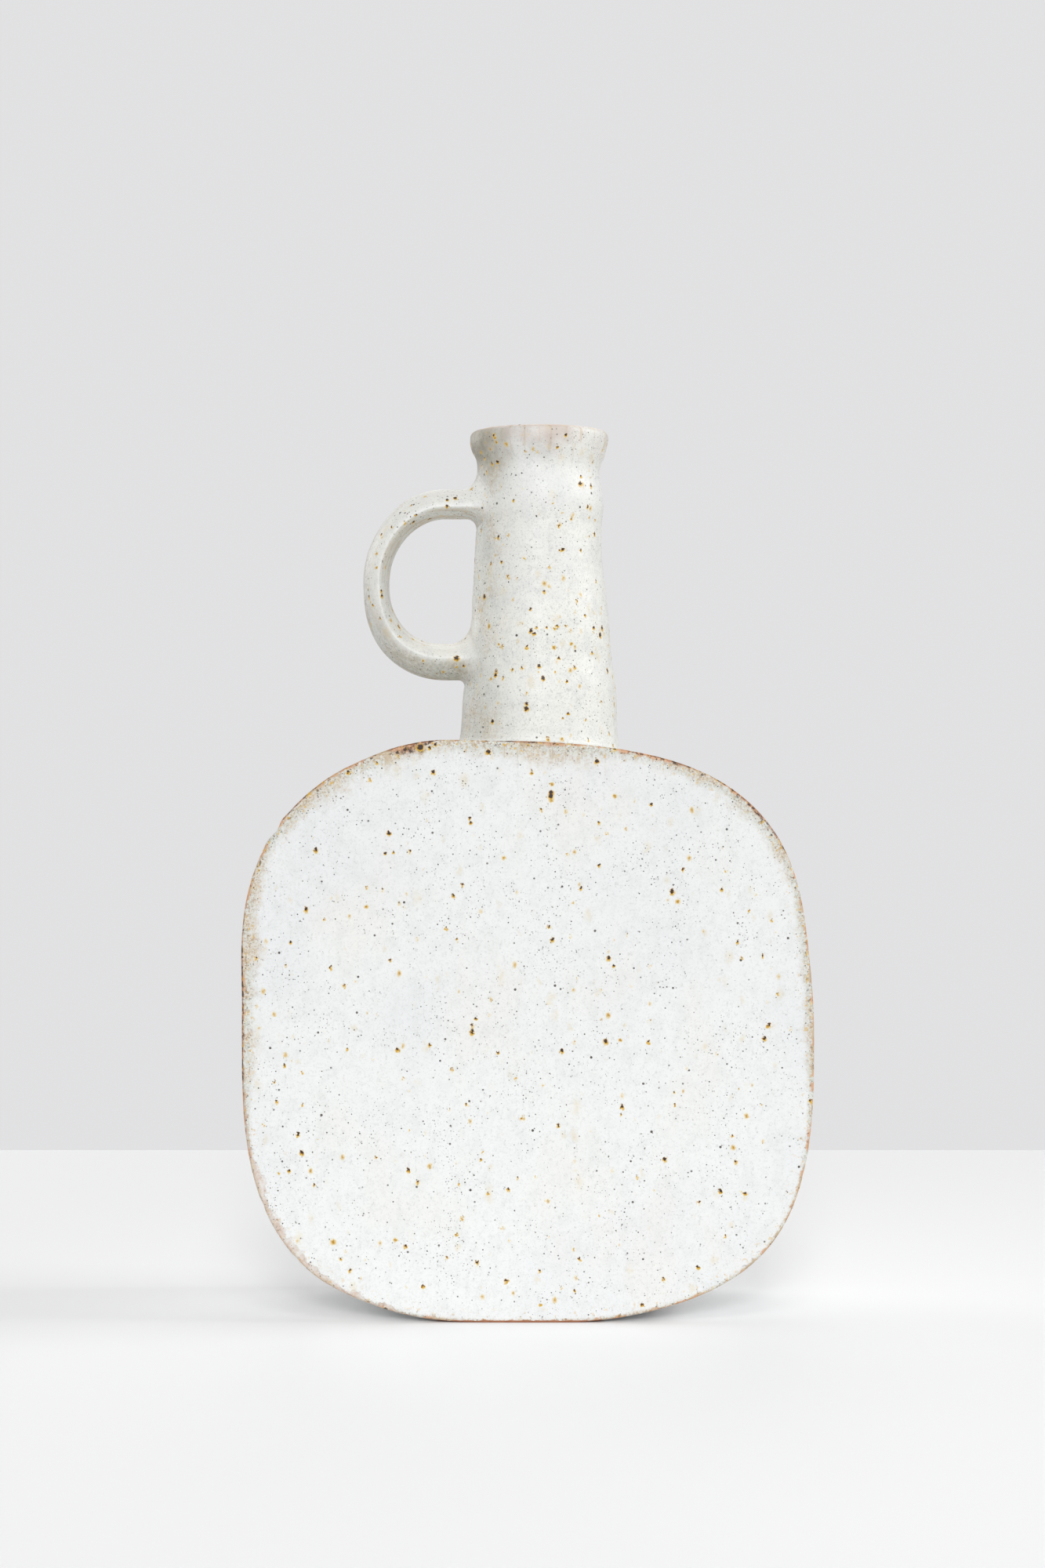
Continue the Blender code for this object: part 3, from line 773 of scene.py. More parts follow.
def bend_place(turn):
    """The strap's middle on its bend, between its two level runs."""
    sizes = sizes_now()
    across = math.cos(turn)
    up = math.sin(turn)
    half_height = (run_level(1.0) - run_level(-1.0)) / 2
    power = sizes.bend_top_roundness if up > 0 else sizes.bend_low_roundness
    radius = oval_radius(across, up, sizes.bend_reach, half_height, power)
    level = (run_level(1.0) + run_level(-1.0)) / 2
    return Vector((bend_start() + radius * across, 0.0, level + radius * up))


def section_ring(middle, outward, lift):
    """One ring of the strap."""
    points = []
    for step in range(STRAP_AROUND_STEPS):
        rise, across = strap_offset(FULL_TURN * step / STRAP_AROUND_STEPS, lift)
        points.append(middle + outward * rise + Vector((0.0, across, 0.0)))
    return points


def bend_rings():
    """Rings round the strap's bend, from the top run to the low run."""
    rings = []
    for step in range(1, BEND_STEPS):
        turn = QUARTER_TURN + math.pi * step / BEND_STEPS
        along = bend_place(turn + SMALL_TURN) - bend_place(turn - SMALL_TURN)
        outward = Vector((along.z, 0.0, -along.x)).normalized()
        rings.append(section_ring(bend_place(turn), outward, math.sin(turn)))
    return rings


def fillet_radius(turn, lift):
    """The fillet's radius at one place round the strap."""
    outer, inner, side = UPPER_FILLET if lift > 0 else LOWER_FILLET
    end = outer if math.sin(turn) > 0 else inner
    return side + (end - side) * math.sin(turn) ** 2


def trumpet_ring(lift, share, sink=0.0):
    """One ring of the strap's end: 0 where it leaves the strap, 1 where it lies flat on the neck."""
    points = []
    for step in range(STRAP_AROUND_STEPS):
        turn = FULL_TURN * step / STRAP_AROUND_STEPS
        rise, across = strap_offset(turn, lift)
        slope_rise = sizes_now().strap_half_width * math.sin(turn)
        slope_across = crown(lift, math.sin(turn) > 0) * math.cos(turn)
        length = math.hypot(slope_rise, slope_across)
        radius = fillet_radius(turn, lift)
        spread = radius * (1.0 - math.cos(QUARTER_TURN * share)) + 2.0 * sink
        away = radius * (1.0 - math.sin(QUARTER_TURN * share))
        y = across + spread * slope_across / length
        z = run_level(lift) + lift * (rise + spread * slope_rise / length)
        points.append(Vector((neck_side_x(y, z) - away + sink, y, z)))
    return points


def run_rings(lift):
    """Rings of a straight run, from where its fillet starts out to the bend."""
    first = trumpet_ring(lift, 0.0)
    last = section_ring(Vector((bend_start(), 0.0, run_level(lift))), Vector((0.0, 0.0, lift)), lift)
    rings = []
    for step in range(RUN_STEPS):
        share = step / RUN_STEPS
        rings.append([near.lerp(far, share) for near, far in zip(first, last)])
    rings.append(last)
    return rings


def end_rings(lift):
    """Rings from inside the neck's wall out through the fillet to the strap."""
    rings = [trumpet_ring(lift, 1.0, depth) for depth in SEAT_DEPTHS]
    rings += [trumpet_ring(lift, 1.0 - step / TRUMPET_STEPS) for step in range(TRUMPET_STEPS)]
    return rings


def make_handle():
    """The pulled strap, its ends smoothed into the neck."""
    rings = end_rings(1.0) + run_rings(1.0) + bend_rings()
    rings += list(reversed(end_rings(-1.0) + run_rings(-1.0)))
    noise.seed_set(UNEVEN_SEED)

    def place(column, row):
        """A point of the strap, from its upper end to its lower end."""
        point = rings[row][column % STRAP_AROUND_STEPS].copy()
        clear = held((UNEVEN_FROM - point.x) / UNEVEN_SPAN)
        wander = noise.noise_vector(point * UNEVEN_BUMPS)
        return point + wander * sizes_now().strap_unevenness * clear

    edit = lay_sheet(STRAP_AROUND_STEPS, len(rings) - 1, place)
    close_up(edit)
    handle = add_piece("handle_glazed", edit,
                       ["handle", "handle_upper_collar", "handle_lower_collar"])
    # How far each point faces down, forwards and left, where the glaze gets painted shade and a painted
    # highlight
    note_facing(handle, "turned_down", DOWNWARDS, 0.10)
    note_facing(handle, "turned_front", FORWARDS)
    note_facing(handle, "turned_left", LEFTWARDS)
    return handle


class Bench:
    """The node tree of a material or a world, with short ways to add nodes and join them."""

    def __init__(self, owner):
        owner.use_nodes = True
        self.owner = owner
        self.tree = owner.node_tree
        self.glaze = bpy.context.scene.vase_glaze
        self.colour = None
        self.height = 0.0

    @cached_property
    def place(self):
        """The place on the surface."""
        return self.add("ShaderNodeTexCoord", {}).outputs["Object"]

    def feed(self, socket, value):
        """Join an output to an input, or type a plain value into it."""
        if isinstance(value, bpy.types.NodeSocket):
            self.tree.links.new(value, socket)
        elif socket.type == "RGBA":
            socket.default_value = (*value, 1.0)
        else:
            socket.default_value = value

    def add(self, kind, inputs, **choices):
        """Add a node, make its choices and feed its inputs."""
        node = self.tree.nodes.new(kind)
        for name, choice in choices.items():
            setattr(node, name, choice)
        for socket, value in inputs.items():
            self.feed(node.inputs[socket], value)
        return node

    def maths(self, operation, *values):
        """A sum on plain numbers."""
        return self.add("ShaderNodeMath", dict(enumerate(values)), operation=operation).outputs[0]

    def times(self, first, second):
        """Two numbers multiplied."""
        return self.maths("MULTIPLY", first, second)

    def line(self, value, slope, start):
        """A value on a straight line: the slope times the value, from a start."""
        return self.maths("MULTIPLY_ADD", value, slope, start)

    def vectors(self, operation, *values, out="Vector"):
        """A sum on places."""
        return self.add("ShaderNodeVectorMath", dict(enumerate(values)), operation=operation).outputs[out]

    def parts(self, place):
        """A place split into its x, y and z."""
        return self.add("ShaderNodeSeparateXYZ", {0: place}).outputs

    def fade(self, value, full, none):
        """1 where the value is at full, falling smoothly to 0 where it is at none."""
        inputs = {"Value": value, "From Min": none, "From Max": full}
        return self.add("ShaderNodeMapRange", inputs, interpolation_type="SMOOTHSTEP").outputs[0]

    def within(self, away, reach, firm):
        """1 up to a firm share of the reach, then falling smoothly to 0 at its end; 0 without a reach."""
        reach = self.maths("MAXIMUM", reach, HAIR)
        return self.fade(away, self.times(reach, firm), reach)

    def blend(self, share, first, second):
        """Mix two colours."""
        inputs = {MIX_FACTOR: share, MIX_FIRST: first, MIX_SECOND: second}
        return self.add("ShaderNodeMix", inputs, data_type="RGBA").outputs[MIX_COLOUR]

    def paint(self, share, colour, strength=None):
        """Lay a colour over the glaze so far, more or less strongly."""
        if strength is not None:
            share = self.times(share, strength)
        self.colour = self.blend(share, self.colour, colour)

    def raise_by(self, share, rise):
        """Raise or sink the surface where a share is 1."""
        self.height = self.line(share, rise, self.height)

    def noise(self, scale, detail=2.0, roughness=0.5, place=None, out="Fac"):
        """Smooth noise, from about 0 to 1, so many bumps to the metre."""
        inputs = {"Vector": place or self.place, "Scale": scale, "Detail": detail, "Roughness": roughness}
        return self.add("ShaderNodeTexNoise", inputs).outputs[out]

    def patches(self, scale, detail, roughness, full, none, place=None):
        """Patches of noise: 1 where it reaches full, falling smoothly to 0 where it is at none."""
        return self.fade(self.noise(scale, detail, roughness, place), full, none)

    def drawn_out(self, squash):
        """The place on the surface, with its height squashed so that marks run up and down."""
        return self.vectors("MULTIPLY", self.place, (1.0, 1.0, squash))

    def warped(self, scale, reach):
        """The place on the surface, pushed about by noise."""
        push = self.vectors("SUBTRACT", self.noise(scale, out="Color"), (0.5, 0.5, 0.5))
        return self.vectors("ADD", self.place, self.vectors("MULTIPLY", push, (reach, reach, reach)))

    def attribute(self, name):
        """A number noted on the mesh."""
        return self.add("ShaderNodeAttribute", {}, attribute_name=name).outputs["Fac"]

    def finish(self, roughness):
        """Join the colour, the roughness and the relief to the shader."""
        bump = self.add("ShaderNodeBump", {"Height": self.height, "Distance": 1.0, "Strength": 1.0})
        facts = {"Base Color": self.colour, "Roughness": roughness, "Normal": bump.outputs["Normal"]}
        for name, value in facts.items():
            self.feed(self.tree.nodes["Principled BSDF"].inputs[name], value)
        return self.owner


def cloud_glaze(bench, white, sandy):
    """The ground: off-white glaze with faint clouds, warm patches and a fine grain, more or less sandy."""
    glaze = bench.glaze
    bench.colour = white
    broad = bench.patches(14.0, 3.0, 0.55, 0.66, 0.44)
    bench.paint(broad, glaze.cloud, 0.40)
    warm = bench.patches(24.0, 4.0, 0.6, 0.72, 0.48, bench.drawn_out(0.6))
    bench.paint(warm, glaze.cream, 0.30)
    mottle = bench.patches(150.0, 5.0, 0.65, 0.72, 0.42, bench.drawn_out(0.7))
    bench.paint(mottle, glaze.mottle, 0.30 + 0.25 * sandy)
    scuff = bench.patches(520.0, 5.0, 0.75, 0.70, 0.56, bench.drawn_out(0.8))
    bench.paint(scuff, glaze.fleck, 0.38 + 0.20 * sandy)
    grain = bench.patches(1300.0, 3.0, 0.6, 0.70, 0.50)
    bench.paint(grain, glaze.fleck, 0.20 + 0.20 * sandy)
    bench.raise_by(bench.noise(1300.0, 2.0), 0.00002 + 0.00004 * sandy)
    bench.raise_by(bench.noise(230.0, 3.0, 0.6), 0.00010 + 0.00022 * sandy)


def scatter(bench, place, cells, share):
    """Points strewn through space: how far the nearest is, its size from 0 to 1, and 1 if it is kept."""
    node = bench.add("ShaderNodeTexVoronoi", {"Vector": place, "Scale": cells})
    chance = bench.add("ShaderNodeTexWhiteNoise", {"Vector": node.outputs["Color"]})
    own = bench.add("ShaderNodeSeparateColor", {0: chance.outputs["Color"]})
    kept = bench.maths("LESS_THAN", own.outputs[1], share)
    return bench.maths("DIVIDE", node.outputs["Distance"], cells), own.outputs[0], kept


def spot(bench, away, reach, kept, firm):
    """1 at a kept point, falling to 0 at its reach; the firm share of the reach stays full."""
    return bench.times(bench.within(away, reach, firm), kept)


def prick(bench, cells, share, smallest, largest, shade, depth):
    """Pinholes, where bubbles broke through the glaze, the larger ones darker."""
    away, size, kept = scatter(bench, bench.place, cells, share)
    reach = bench.line(size, largest - smallest, smallest)
    hole = spot(bench, away, reach, kept, 0.70)
    bench.paint(hole, bench.glaze.pinhole, bench.line(size, 0.55 * shade, 0.45 * shade))
    bench.raise_by(hole, -depth)


def nearest_of(bench, place, spots):
    """How far the nearest of some spots is, where a larger spot counts as nearer by its size."""
    nearest = 1.0
    for centre, size in spots:
        away = bench.vectors("DISTANCE", place, centre, out="Value")
        nearest = bench.maths("MINIMUM", nearest, bench.maths("DIVIDE", away, size))
    return nearest


def paint_iron(bench, away, below, core_reach, kept):
    """An iron spot: a dark core, a brown ring, and an amber crust and straw halo that ran down a little."""
    glaze = bench.glaze
    layers = (
        (below, 1.5, 0.0006, 0.20, 0.55, glaze.straw),
        (below, 1.35, 0.00033, 0.45, 0.95, glaze.amber),
        (away, 1.25, 0.0001, 0.60, 0.95, glaze.ring),
        (away, 1.0, 0.0, 0.80, 1.0, glaze.char),
    )
    for distance, factor, more, firm, strength, colour in layers:
        layer = spot(bench, distance, bench.line(core_reach, factor, more), kept, firm)
        bench.paint(layer, colour, strength)
    bench.raise_by(layer, 0.00010)


def strew_iron(bench, share, largest):
    """Iron spots at random, and the largest at their own places."""
    place = bench.vectors("MULTIPLY", bench.warped(950.0, 0.0022), (1.0, 1.0, 0.8))
    away, size, kept = scatter(bench, place, IRON_CELLS, share)
    below = scatter(bench, bench.vectors("ADD", place, IRON_RUN), IRON_CELLS, share)[0]
    core_reach = bench.line(bench.maths("POWER", size, 3.0), 0.00050, 0.00036)
    paint_iron(bench, away, below, core_reach, kept)
    if largest:
        place = bench.warped(950.0, 0.0018)
        away = nearest_of(bench, place, largest)
        below = nearest_of(bench, bench.vectors("ADD", place, IRON_RUN), largest)
        paint_iron(bench, away, below, 0.00062, 1.0)


def paint_amber(bench, away, reach, kept, strength):
    """An amber spot, where the iron melted into the glaze and left no core."""
    glaze = bench.glaze
    layers = (
        (1.0, 0.0, 0.7, glaze.straw),
        (0.8, 0.2, 1.0, glaze.amber),
        (0.45, 0.1, 0.8, glaze.ring),
    )
    for share, firm, cover, colour in layers:
        layer = spot(bench, away, bench.times(reach, share), kept, firm)
        bench.paint(layer, colour, bench.times(strength, cover))


def strew_amber(bench, share, largest):
    """Amber spots at random, and the largest at their own places."""
    place = bench.vectors("MULTIPLY_ADD", bench.warped(900.0, 0.0014), (1.0, 1.0, 0.7), AMBER_SHIFT)
    away, size, kept = scatter(bench, place, IRON_CELLS, share)
    paint_amber(bench, away, bench.line(size, 0.0010, 0.0008), kept, bench.line(size, 0.55, 0.30))
    if largest:
        away = nearest_of(bench, bench.warped(900.0, 0.0014), largest)
        paint_amber(bench, away, 0.0015, 1.0, 0.95)


def strew_smudges(bench, share):
    """Pale smudges over iron that stayed under the glaze."""
    place = bench.vectors("MULTIPLY", bench.warped(350.0, 0.0045), (1.0, 1.0, 0.6))
    away, size, kept = scatter(bench, place, 110.0, share)
    smudge = spot(bench, away, bench.line(size, 0.0020, 0.0011), kept, 0.0)
    bench.paint(smudge, bench.glaze.smudge, 0.45)


def weather_edges(bench):
    """The drum's edges, from the thin ashy glaze in to the burnt iron on the arris."""
    slow = bench.noise(70.0, 4.0, 0.65)
    quick = bench.noise(500.0, 3.0, 0.6)
    ragged = bench.patches(230.0, 4.0, 0.7, 0.64, 0.36)
    from_arris = bench.attribute("from_arris")
    thin = thin_edge(bench, from_arris, slow)
    streak_top(bench)
    wipe_band(bench, from_arris, slow, quick, ragged)
    break_arris(bench, from_arris, slow, ragged)
    burn_arris(bench, from_arris, slow, quick)
    speck_arris(bench, from_arris)
    return thin


def thin_edge(bench, from_arris, slow):
    """Thin, sandy glaze along the edge, ashy in one place and beige in the next."""
    glaze = bench.glaze
    reach = bench.times(bench.attribute("thinned"), bench.line(slow, 0.0310, -0.0070))
    thin = bench.within(from_arris, bench.maths("ADD", reach, 0.0024), 0.15)
    sandy = bench.line(bench.patches(1100.0, 3.0, 0.7, 0.58, 0.46), 0.55, 0.43)
    bench.paint(thin, bench.blend(bench.fade(slow, 0.60, 0.46), glaze.ash, glaze.beige), sandy)
    stipple = bench.patches(800.0, 3.0, 0.6, 0.64, 0.54)
    bench.paint(bench.times(stipple, thin), glaze.rust, 0.42)
    return thin


def streak_top(bench):
    """Brown streaks that ran down the face from its top edge."""
    streak = bench.patches(420.0, 4.0, 0.6, 0.66, 0.54, bench.drawn_out(0.06))
    streak = bench.times(streak, bench.patches(260.0, 3.0, 0.6, 0.56, 0.40))
    length = bench.line(bench.noise(60.0, 1.0), 0.0260, -0.0020)
    run = bench.times(streak, bench.within(bench.attribute("below_edge"), length, 0.3))
    bench.paint(run, bench.glaze.stain, bench.times(bench.attribute("thinned"), 0.80))


def wipe_band(bench, from_arris, slow, quick, ragged):
    """The band of clay that the sponge left bare, with a rusty brim where the glaze begins."""
    glaze = bench.glaze
    reach = bench.times(bench.attribute("wiped"), bench.line(slow, 0.0170, -0.0045))
    reach = bench.maths("ADD", reach, bench.line(quick, 0.0030, -0.0017))
    bare = bench.within(from_arris, reach, 0.60)
    clean = bench.within(from_arris, bench.maths("SUBTRACT", reach, 0.0007), 0.8)
    broken_up = bench.line(bench.patches(240.0, 4.0, 0.7, 0.38, 0.60), 0.60, 0.38)
    patchy = bench.patches(170.0, 4.0, 0.7, 0.64, 0.50)
    clay = bench.blend(quick, glaze.wiped, bench.blend(patchy, glaze.wiped, glaze.stain))
    bench.paint(bare, clay, broken_up)
    brim = bench.times(bench.maths("SUBTRACT", bare, clean), ragged)
    bench.paint(brim, glaze.rust, 0.55)
    bench.raise_by(bare, -0.00012)


def break_arris(bench, from_arris, slow, ragged):
    """The glaze that broke to peach and brown over the arris, less so where it was wiped."""
    glaze = bench.glaze
    unwiped = bench.maths("SUBTRACT", 1.0, bench.times(bench.attribute("wiped"), 0.7))
    reach = bench.line(ragged, 0.0030, bench.line(bench.attribute("burnt"), 0.0014, -0.0005))
    broken = bench.within(from_arris, reach, 0.4)
    crust = bench.blend(bench.fade(slow, 0.44, 0.58), glaze.stain, glaze.peach)
    bench.paint(broken, crust, bench.times(unwiped, 0.90))


def burn_arris(bench, from_arris, slow, quick):
    """Burnt iron: rusty smears, dark blots in them and a hairline along the arris."""
    glaze = bench.glaze
    burnt = bench.attribute("burnt")
    burn = bench.within(from_arris, bench.times(burnt, bench.line(slow, 0.0160, -0.0042)), 0.2)
    bench.paint(burn, bench.blend(bench.fade(quick, 0.60, 0.46), glaze.rust, glaze.peach), 0.80)
    blot = bench.times(bench.patches(330.0, 4.0, 0.7, 0.57, 0.49), bench.fade(burn, 0.6, 0.1))
    bench.paint(blot, glaze.char, 0.92)
    hairline = bench.within(from_arris, bench.line(bench.noise(260.0, 4.0, 0.7), 0.0044, -0.0017), 0.5)
    bench.paint(hairline, glaze.rust, bench.line(burnt, 0.60, 0.35))


def speck_arris(bench, from_arris):
    """Small amber and dark specks crowded near the arris."""
    strength = bench.line(bench.attribute("thinned"), 0.45, 0.40)
    for place, reach, colour in (
        (bench.drawn_out(0.9), 0.0080, bench.glaze.amber),
        (bench.place, 0.0036, bench.glaze.char),
    ):
        speck = bench.patches(460.0, 3.0, 0.6, 0.66, 0.59, place)
        bench.paint(bench.times(speck, bench.within(from_arris, reach, 0.4)), colour, strength)


def blush_rim(bench):
    """The rim, where the glaze ran thin and blushed over the clay."""
    glaze = bench.glaze
    top = NECK_HIGH.z
    level = bench.parts(bench.place)[2]
    uneven = bench.line(bench.noise(65.0, 4.0, 0.6), 0.0300, -0.0150)
    band = bench.fade(bench.maths("ADD", level, uneven), top - 0.001, top - 0.015)
    patchy = bench.patches(38.0, 3.0, 0.6, 0.58, 0.38, bench.drawn_out(0.3))
    bench.paint(bench.times(band, patchy), glaze.blush, 0.75)
    streak = bench.patches(330.0, 3.0, 0.5, 0.68, 0.57, bench.drawn_out(0.06))
    run = bench.times(streak, bench.fade(level, top - 0.004, top - 0.020))
    bench.paint(run, glaze.beige, 0.45)
    crest = bench.fade(bench.line(uneven, 0.12, level), top - 0.0002, top - 0.0016)
    bench.paint(crest, glaze.peach, 0.20)


def thin_and_shaded_patches(bench, share):
    """Sandy patches where the glaze lies thin and greenish, with dark grit; the callers set the share from
    how a surface faces, so on the neck's left and under the handle these are painted shade as well as thin
    glaze.
    """
    glaze = bench.glaze
    sandy = bench.patches(700.0, 3.0, 0.7, 0.60, 0.42)
    patchy = bench.patches(80.0, 4.0, 0.6, 0.66, 0.46)
    cover = bench.times(bench.line(sandy, 0.70, 0.30), bench.line(patchy, 0.4, 0.6))
    bench.paint(cover, bench.blend(patchy, glaze.ash, glaze.beige), share)
    grit = bench.patches(600.0, 4.0, 0.7, 0.66, 0.57)
    bench.paint(bench.times(grit, share), glaze.pinhole, 0.45)


def weather_neck_with_painted_light(bench):
    """The neck: a blushing rim, a whiter band under it that is partly pooled glaze and partly a painted
    highlight, and thin glaze with painted shade on its left side, by the handle.
    """
    glaze = bench.glaze
    level = bench.parts(bench.place)[2]
    # A whiter band below the rim's flare: partly thick pooled glaze, partly a painted highlight where the
    # flare's downward-facing side renders darker
    from_pooled_highlight = bench.maths("ABSOLUTE", bench.maths("SUBTRACT", level, NECK_HIGH.z - 0.026))
    bench.paint(bench.fade(from_pooled_highlight, 0.002, 0.016), glaze.white, 0.40)
    blush_rim(bench)
    near_rim = bench.fade(level, NECK_HIGH.z - 0.010, NECK_HIGH.z - 0.034)
    near_foot = bench.fade(level, NECK_LOW.z + 0.008, NECK_LOW.z + 0.048)
    # Painted shade: the side that faces left, away from the lamps, gets thin grey-green glaze and grit,
    # most near the rim and the foot; partly real thin glaze, partly painted shade
    left = bench.fade(bench.attribute("turned_left"), 0.95, 0.25)
    ends = bench.line(near_rim, 1.15, bench.times(near_foot, 0.45))
    streaky = bench.line(bench.patches(90.0, 4.0, 0.7, 0.60, 0.40), 0.35, 0.65)
    thin = bench.times(left, bench.line(ends, 0.4, 0.6))
    thin_and_shaded_patches(bench, thin)
    # Painted shade: dark grey-brown laid over the left-facing side near the rim and the foot
    bench.paint(bench.times(left, ends), glaze.shade_on_thin_glaze, streaky)
    return thin


def weather_handle_with_painted_light(bench):
    """The handle: thin glaze and painted shade under it, streaked along the strap as the clay was pulled,
    with a painted highlight where it faces the front and painted shade on its sides turned from the front,
    its outer left side and under its low run.
    """
    glaze = bench.glaze
    middle = (bend_start(), 0.0, (run_level(1.0) + run_level(-1.0)) / 2)
    apart = bench.parts(bench.vectors("SUBTRACT", bench.place, middle))
    away = bench.maths("SQRT", bench.line(apart[0], apart[0], bench.maths("POWER", apart[2], 2.0)))
    along = bench.times(bench.maths("ARCTAN2", apart[2], apart[0]), 0.0020)
    pulled = bench.add("ShaderNodeCombineXYZ", {0: away, 1: along, 2: apart[1]}).outputs[0]
    lines = bench.patches(480.0, 4.0, 0.6, 0.60, 0.44, pulled)
    under = bench.attribute("turned_down")
    # Thin grey-green glaze and grit on the faces that turn down: partly real thin glaze, partly painted
    # shade under the strap
    thin = bench.times(under, 0.75)
    thin_and_shaded_patches(bench, thin)
    front = bench.attribute("turned_front")
    # Painted highlight: the parts of the strap that face the front are painted whiter
    bench.paint(bench.fade(front, 0.98, 0.80), glaze.white, 0.50)
    # Pulled-clay streaks, stronger under the strap and on its sides turned away from the front, where they
    # also serve as painted shade
    edge_on = bench.fade(front, 0.20, 0.75)
    bench.paint(lines, glaze.stain, bench.line(under, 0.35, bench.line(edge_on, 0.22, 0.04)))
    # Painted shade: dark grey-brown under the low run and on the strap's outer left side
    low = bench.fade(apart[2], -0.022, -0.006)
    outer = bench.fade(bench.attribute("turned_left"), 1.0, 0.68)
    shaded = bench.maths("MAXIMUM", bench.times(low, under), outer)
    rough = bench.line(bench.patches(520.0, 4.0, 0.7, 0.58, 0.44), 0.30, 0.30)
    bench.paint(shaded, glaze.shade_on_thin_glaze, rough)
    bench.raise_by(lines, 0.00005)
    return thin


def bare_foot(bench):
    """Bare toasted clay on the underside, up to the line where the glaze was wiped."""
    line = bench.line(bench.noise(240.0, 3.0, 0.6), 0.0016, 0.0003)
    clay = bench.within(bench.parts(bench.place)[2], line, 0.8)
    bench.paint(clay, bench.blend(bench.noise(600.0, 3.0), bench.glaze.rust, bench.glaze.bare_clay))


def make_glaze(name, white, weather, iron, amber, sandy, largest_iron, largest_amber):
    """The speckled semi-matt glaze, with so much iron in it and its own marks of weather; the neck's and
    the handle's marks include painted shade and highlights.

    Each weather function paints its marks and gives the share of thin glaze, where pinholes crowd; on the
    neck and the handle that share is partly painted shade.
    """
    bench = Bench(bpy.data.materials.new(name))
    cloud_glaze(bench, white, sandy)
    crowded = bench.times(bench.patches(42.0, 3.0, 0.6, 0.66, 0.42), 0.90 - 0.30 * sandy)
    crowded = bench.maths("MAXIMUM", crowded, weather(bench))
    strew_smudges(bench, 0.7 + 0.25 * sandy)
    for cells, more, everywhere, *hole in PINHOLES:
        prick(bench, cells, bench.line(crowded, more, everywhere), *hole)
    strew_amber(bench, amber, largest_amber)
    strew_iron(bench, iron, largest_iron)
    if weather is weather_edges:
        bare_foot(bench)
    return bench.finish(bench.line(bench.noise(60.0, 3.0), 0.20, 0.36))


def glaze_all(pieces, name, white, weather, specks, iron_spots=(), amber_spots=()):
    """Give some pieces one glaze, with the largest spots at their own places on the first piece."""
    finish = make_glaze(name, white, weather, **specks, largest_iron=seen_from_front(pieces[0], iron_spots),
                        largest_amber=seen_from_front(pieces[0], amber_spots))
    for piece in pieces:
        piece.data.materials.append(finish)


def make_clay(name, colour):
    """Unglazed clay inside the drum."""
    bench = Bench(bpy.data.materials.new(name))
    bench.colour = bench.blend(bench.noise(300.0, 4.0), colour, bench.glaze.beige)
    bench.raise_by(bench.noise(900.0, 3.0), 0.00006)
    return bench.finish(bench.line(bench.noise(90.0), 0.2, 0.7))


def add_light(name, place, aim, width, height, power):
    """A soft rectangular lamp that faces a point."""
    lamp = bpy.data.lights.new(name, "AREA")
    lamp.shape = "RECTANGLE"
    lamp.size = width
    lamp.size_y = height
    lamp.energy = power
    holder = bpy.data.objects.new(name, lamp)
    holder.location = place
    holder.rotation_euler = (Vector(aim) - Vector(place)).to_track_quat("-Z", "Y").to_euler()
    bpy.context.scene.collection.objects.link(holder)


def make_table(stage):
    """The square pale table that the vase stands on, with a painted pool of light just in front of the
    vase.
    """
    edit = bmesh.new()
    bmesh.ops.create_cube(edit, size=1.0)
    half = stage.table_half_width
    bmesh.ops.scale(edit, verts=edit.verts, vec=(2.0 * half, 2.0 * half, stage.table_thickness))
    bmesh.ops.translate(edit, verts=edit.verts, vec=(0.0, 0.0, -stage.table_thickness / 2))
    mesh = bpy.data.meshes.new("table")
    edit.to_mesh(mesh)
    edit.free()
    bench = Bench(bpy.data.materials.new("table_paint_and_light"))
    # Painted light: paler towards a place just in front of the vase
    away = bench.vectors("DISTANCE", bench.place, PAINTED_LIGHT_PLACE, out="Value")
    bench.colour = bench.blend(bench.fade(away, 0.0, PAINTED_LIGHT_REACH), stage.table_colour, stage.table_lit_middle)
    mesh.materials.append(bench.finish(TABLE_ROUGHNESS))
    table = bpy.data.objects.new("table", mesh)
    bpy.context.scene.collection.objects.link(table)


def make_world(stage):
    """An even light all round, seen as a pale grey backdrop."""
    world = bpy.data.worlds.new("studio")
    bench = Bench(world)
    bench.tree.nodes.clear()
    rays = bench.add("ShaderNodeLightPath", {}).outputs
    seen = bench.maths("MAXIMUM", rays["Is Camera Ray"], rays["Is Glossy Ray"])
    seen = bench.maths("MAXIMUM", seen, rays["Is Transmission Ray"])
    lit = bench.add("ShaderNodeBackground", {"Color": (1.0, 1.0, 1.0), "Strength": stage.ambient})
    shown = bench.add("ShaderNodeBackground", {"Color": stage.backdrop_colour})
    mix = bench.add("ShaderNodeMixShader", {0: seen, 1: lit.outputs[0], 2: shown.outputs[0]})
    bench.add("ShaderNodeOutputWorld", {"Surface": mix.outputs[0]})
    bpy.context.scene.world = world


def make_camera(stage):
    """A level camera in front of the vase."""
    camera = bpy.data.cameras.new("camera")
    camera.lens = stage.lens
    camera.sensor_width = SENSOR_WIDTH
    holder = bpy.data.objects.new("camera", camera)
    holder.location = (stage.camera_aside, -stage.camera_distance, stage.camera_height)
    holder.rotation_euler = (math.radians(90.0), 0.0, 0.0)
    bpy.context.scene.collection.objects.link(holder)
    bpy.context.scene.camera = holder


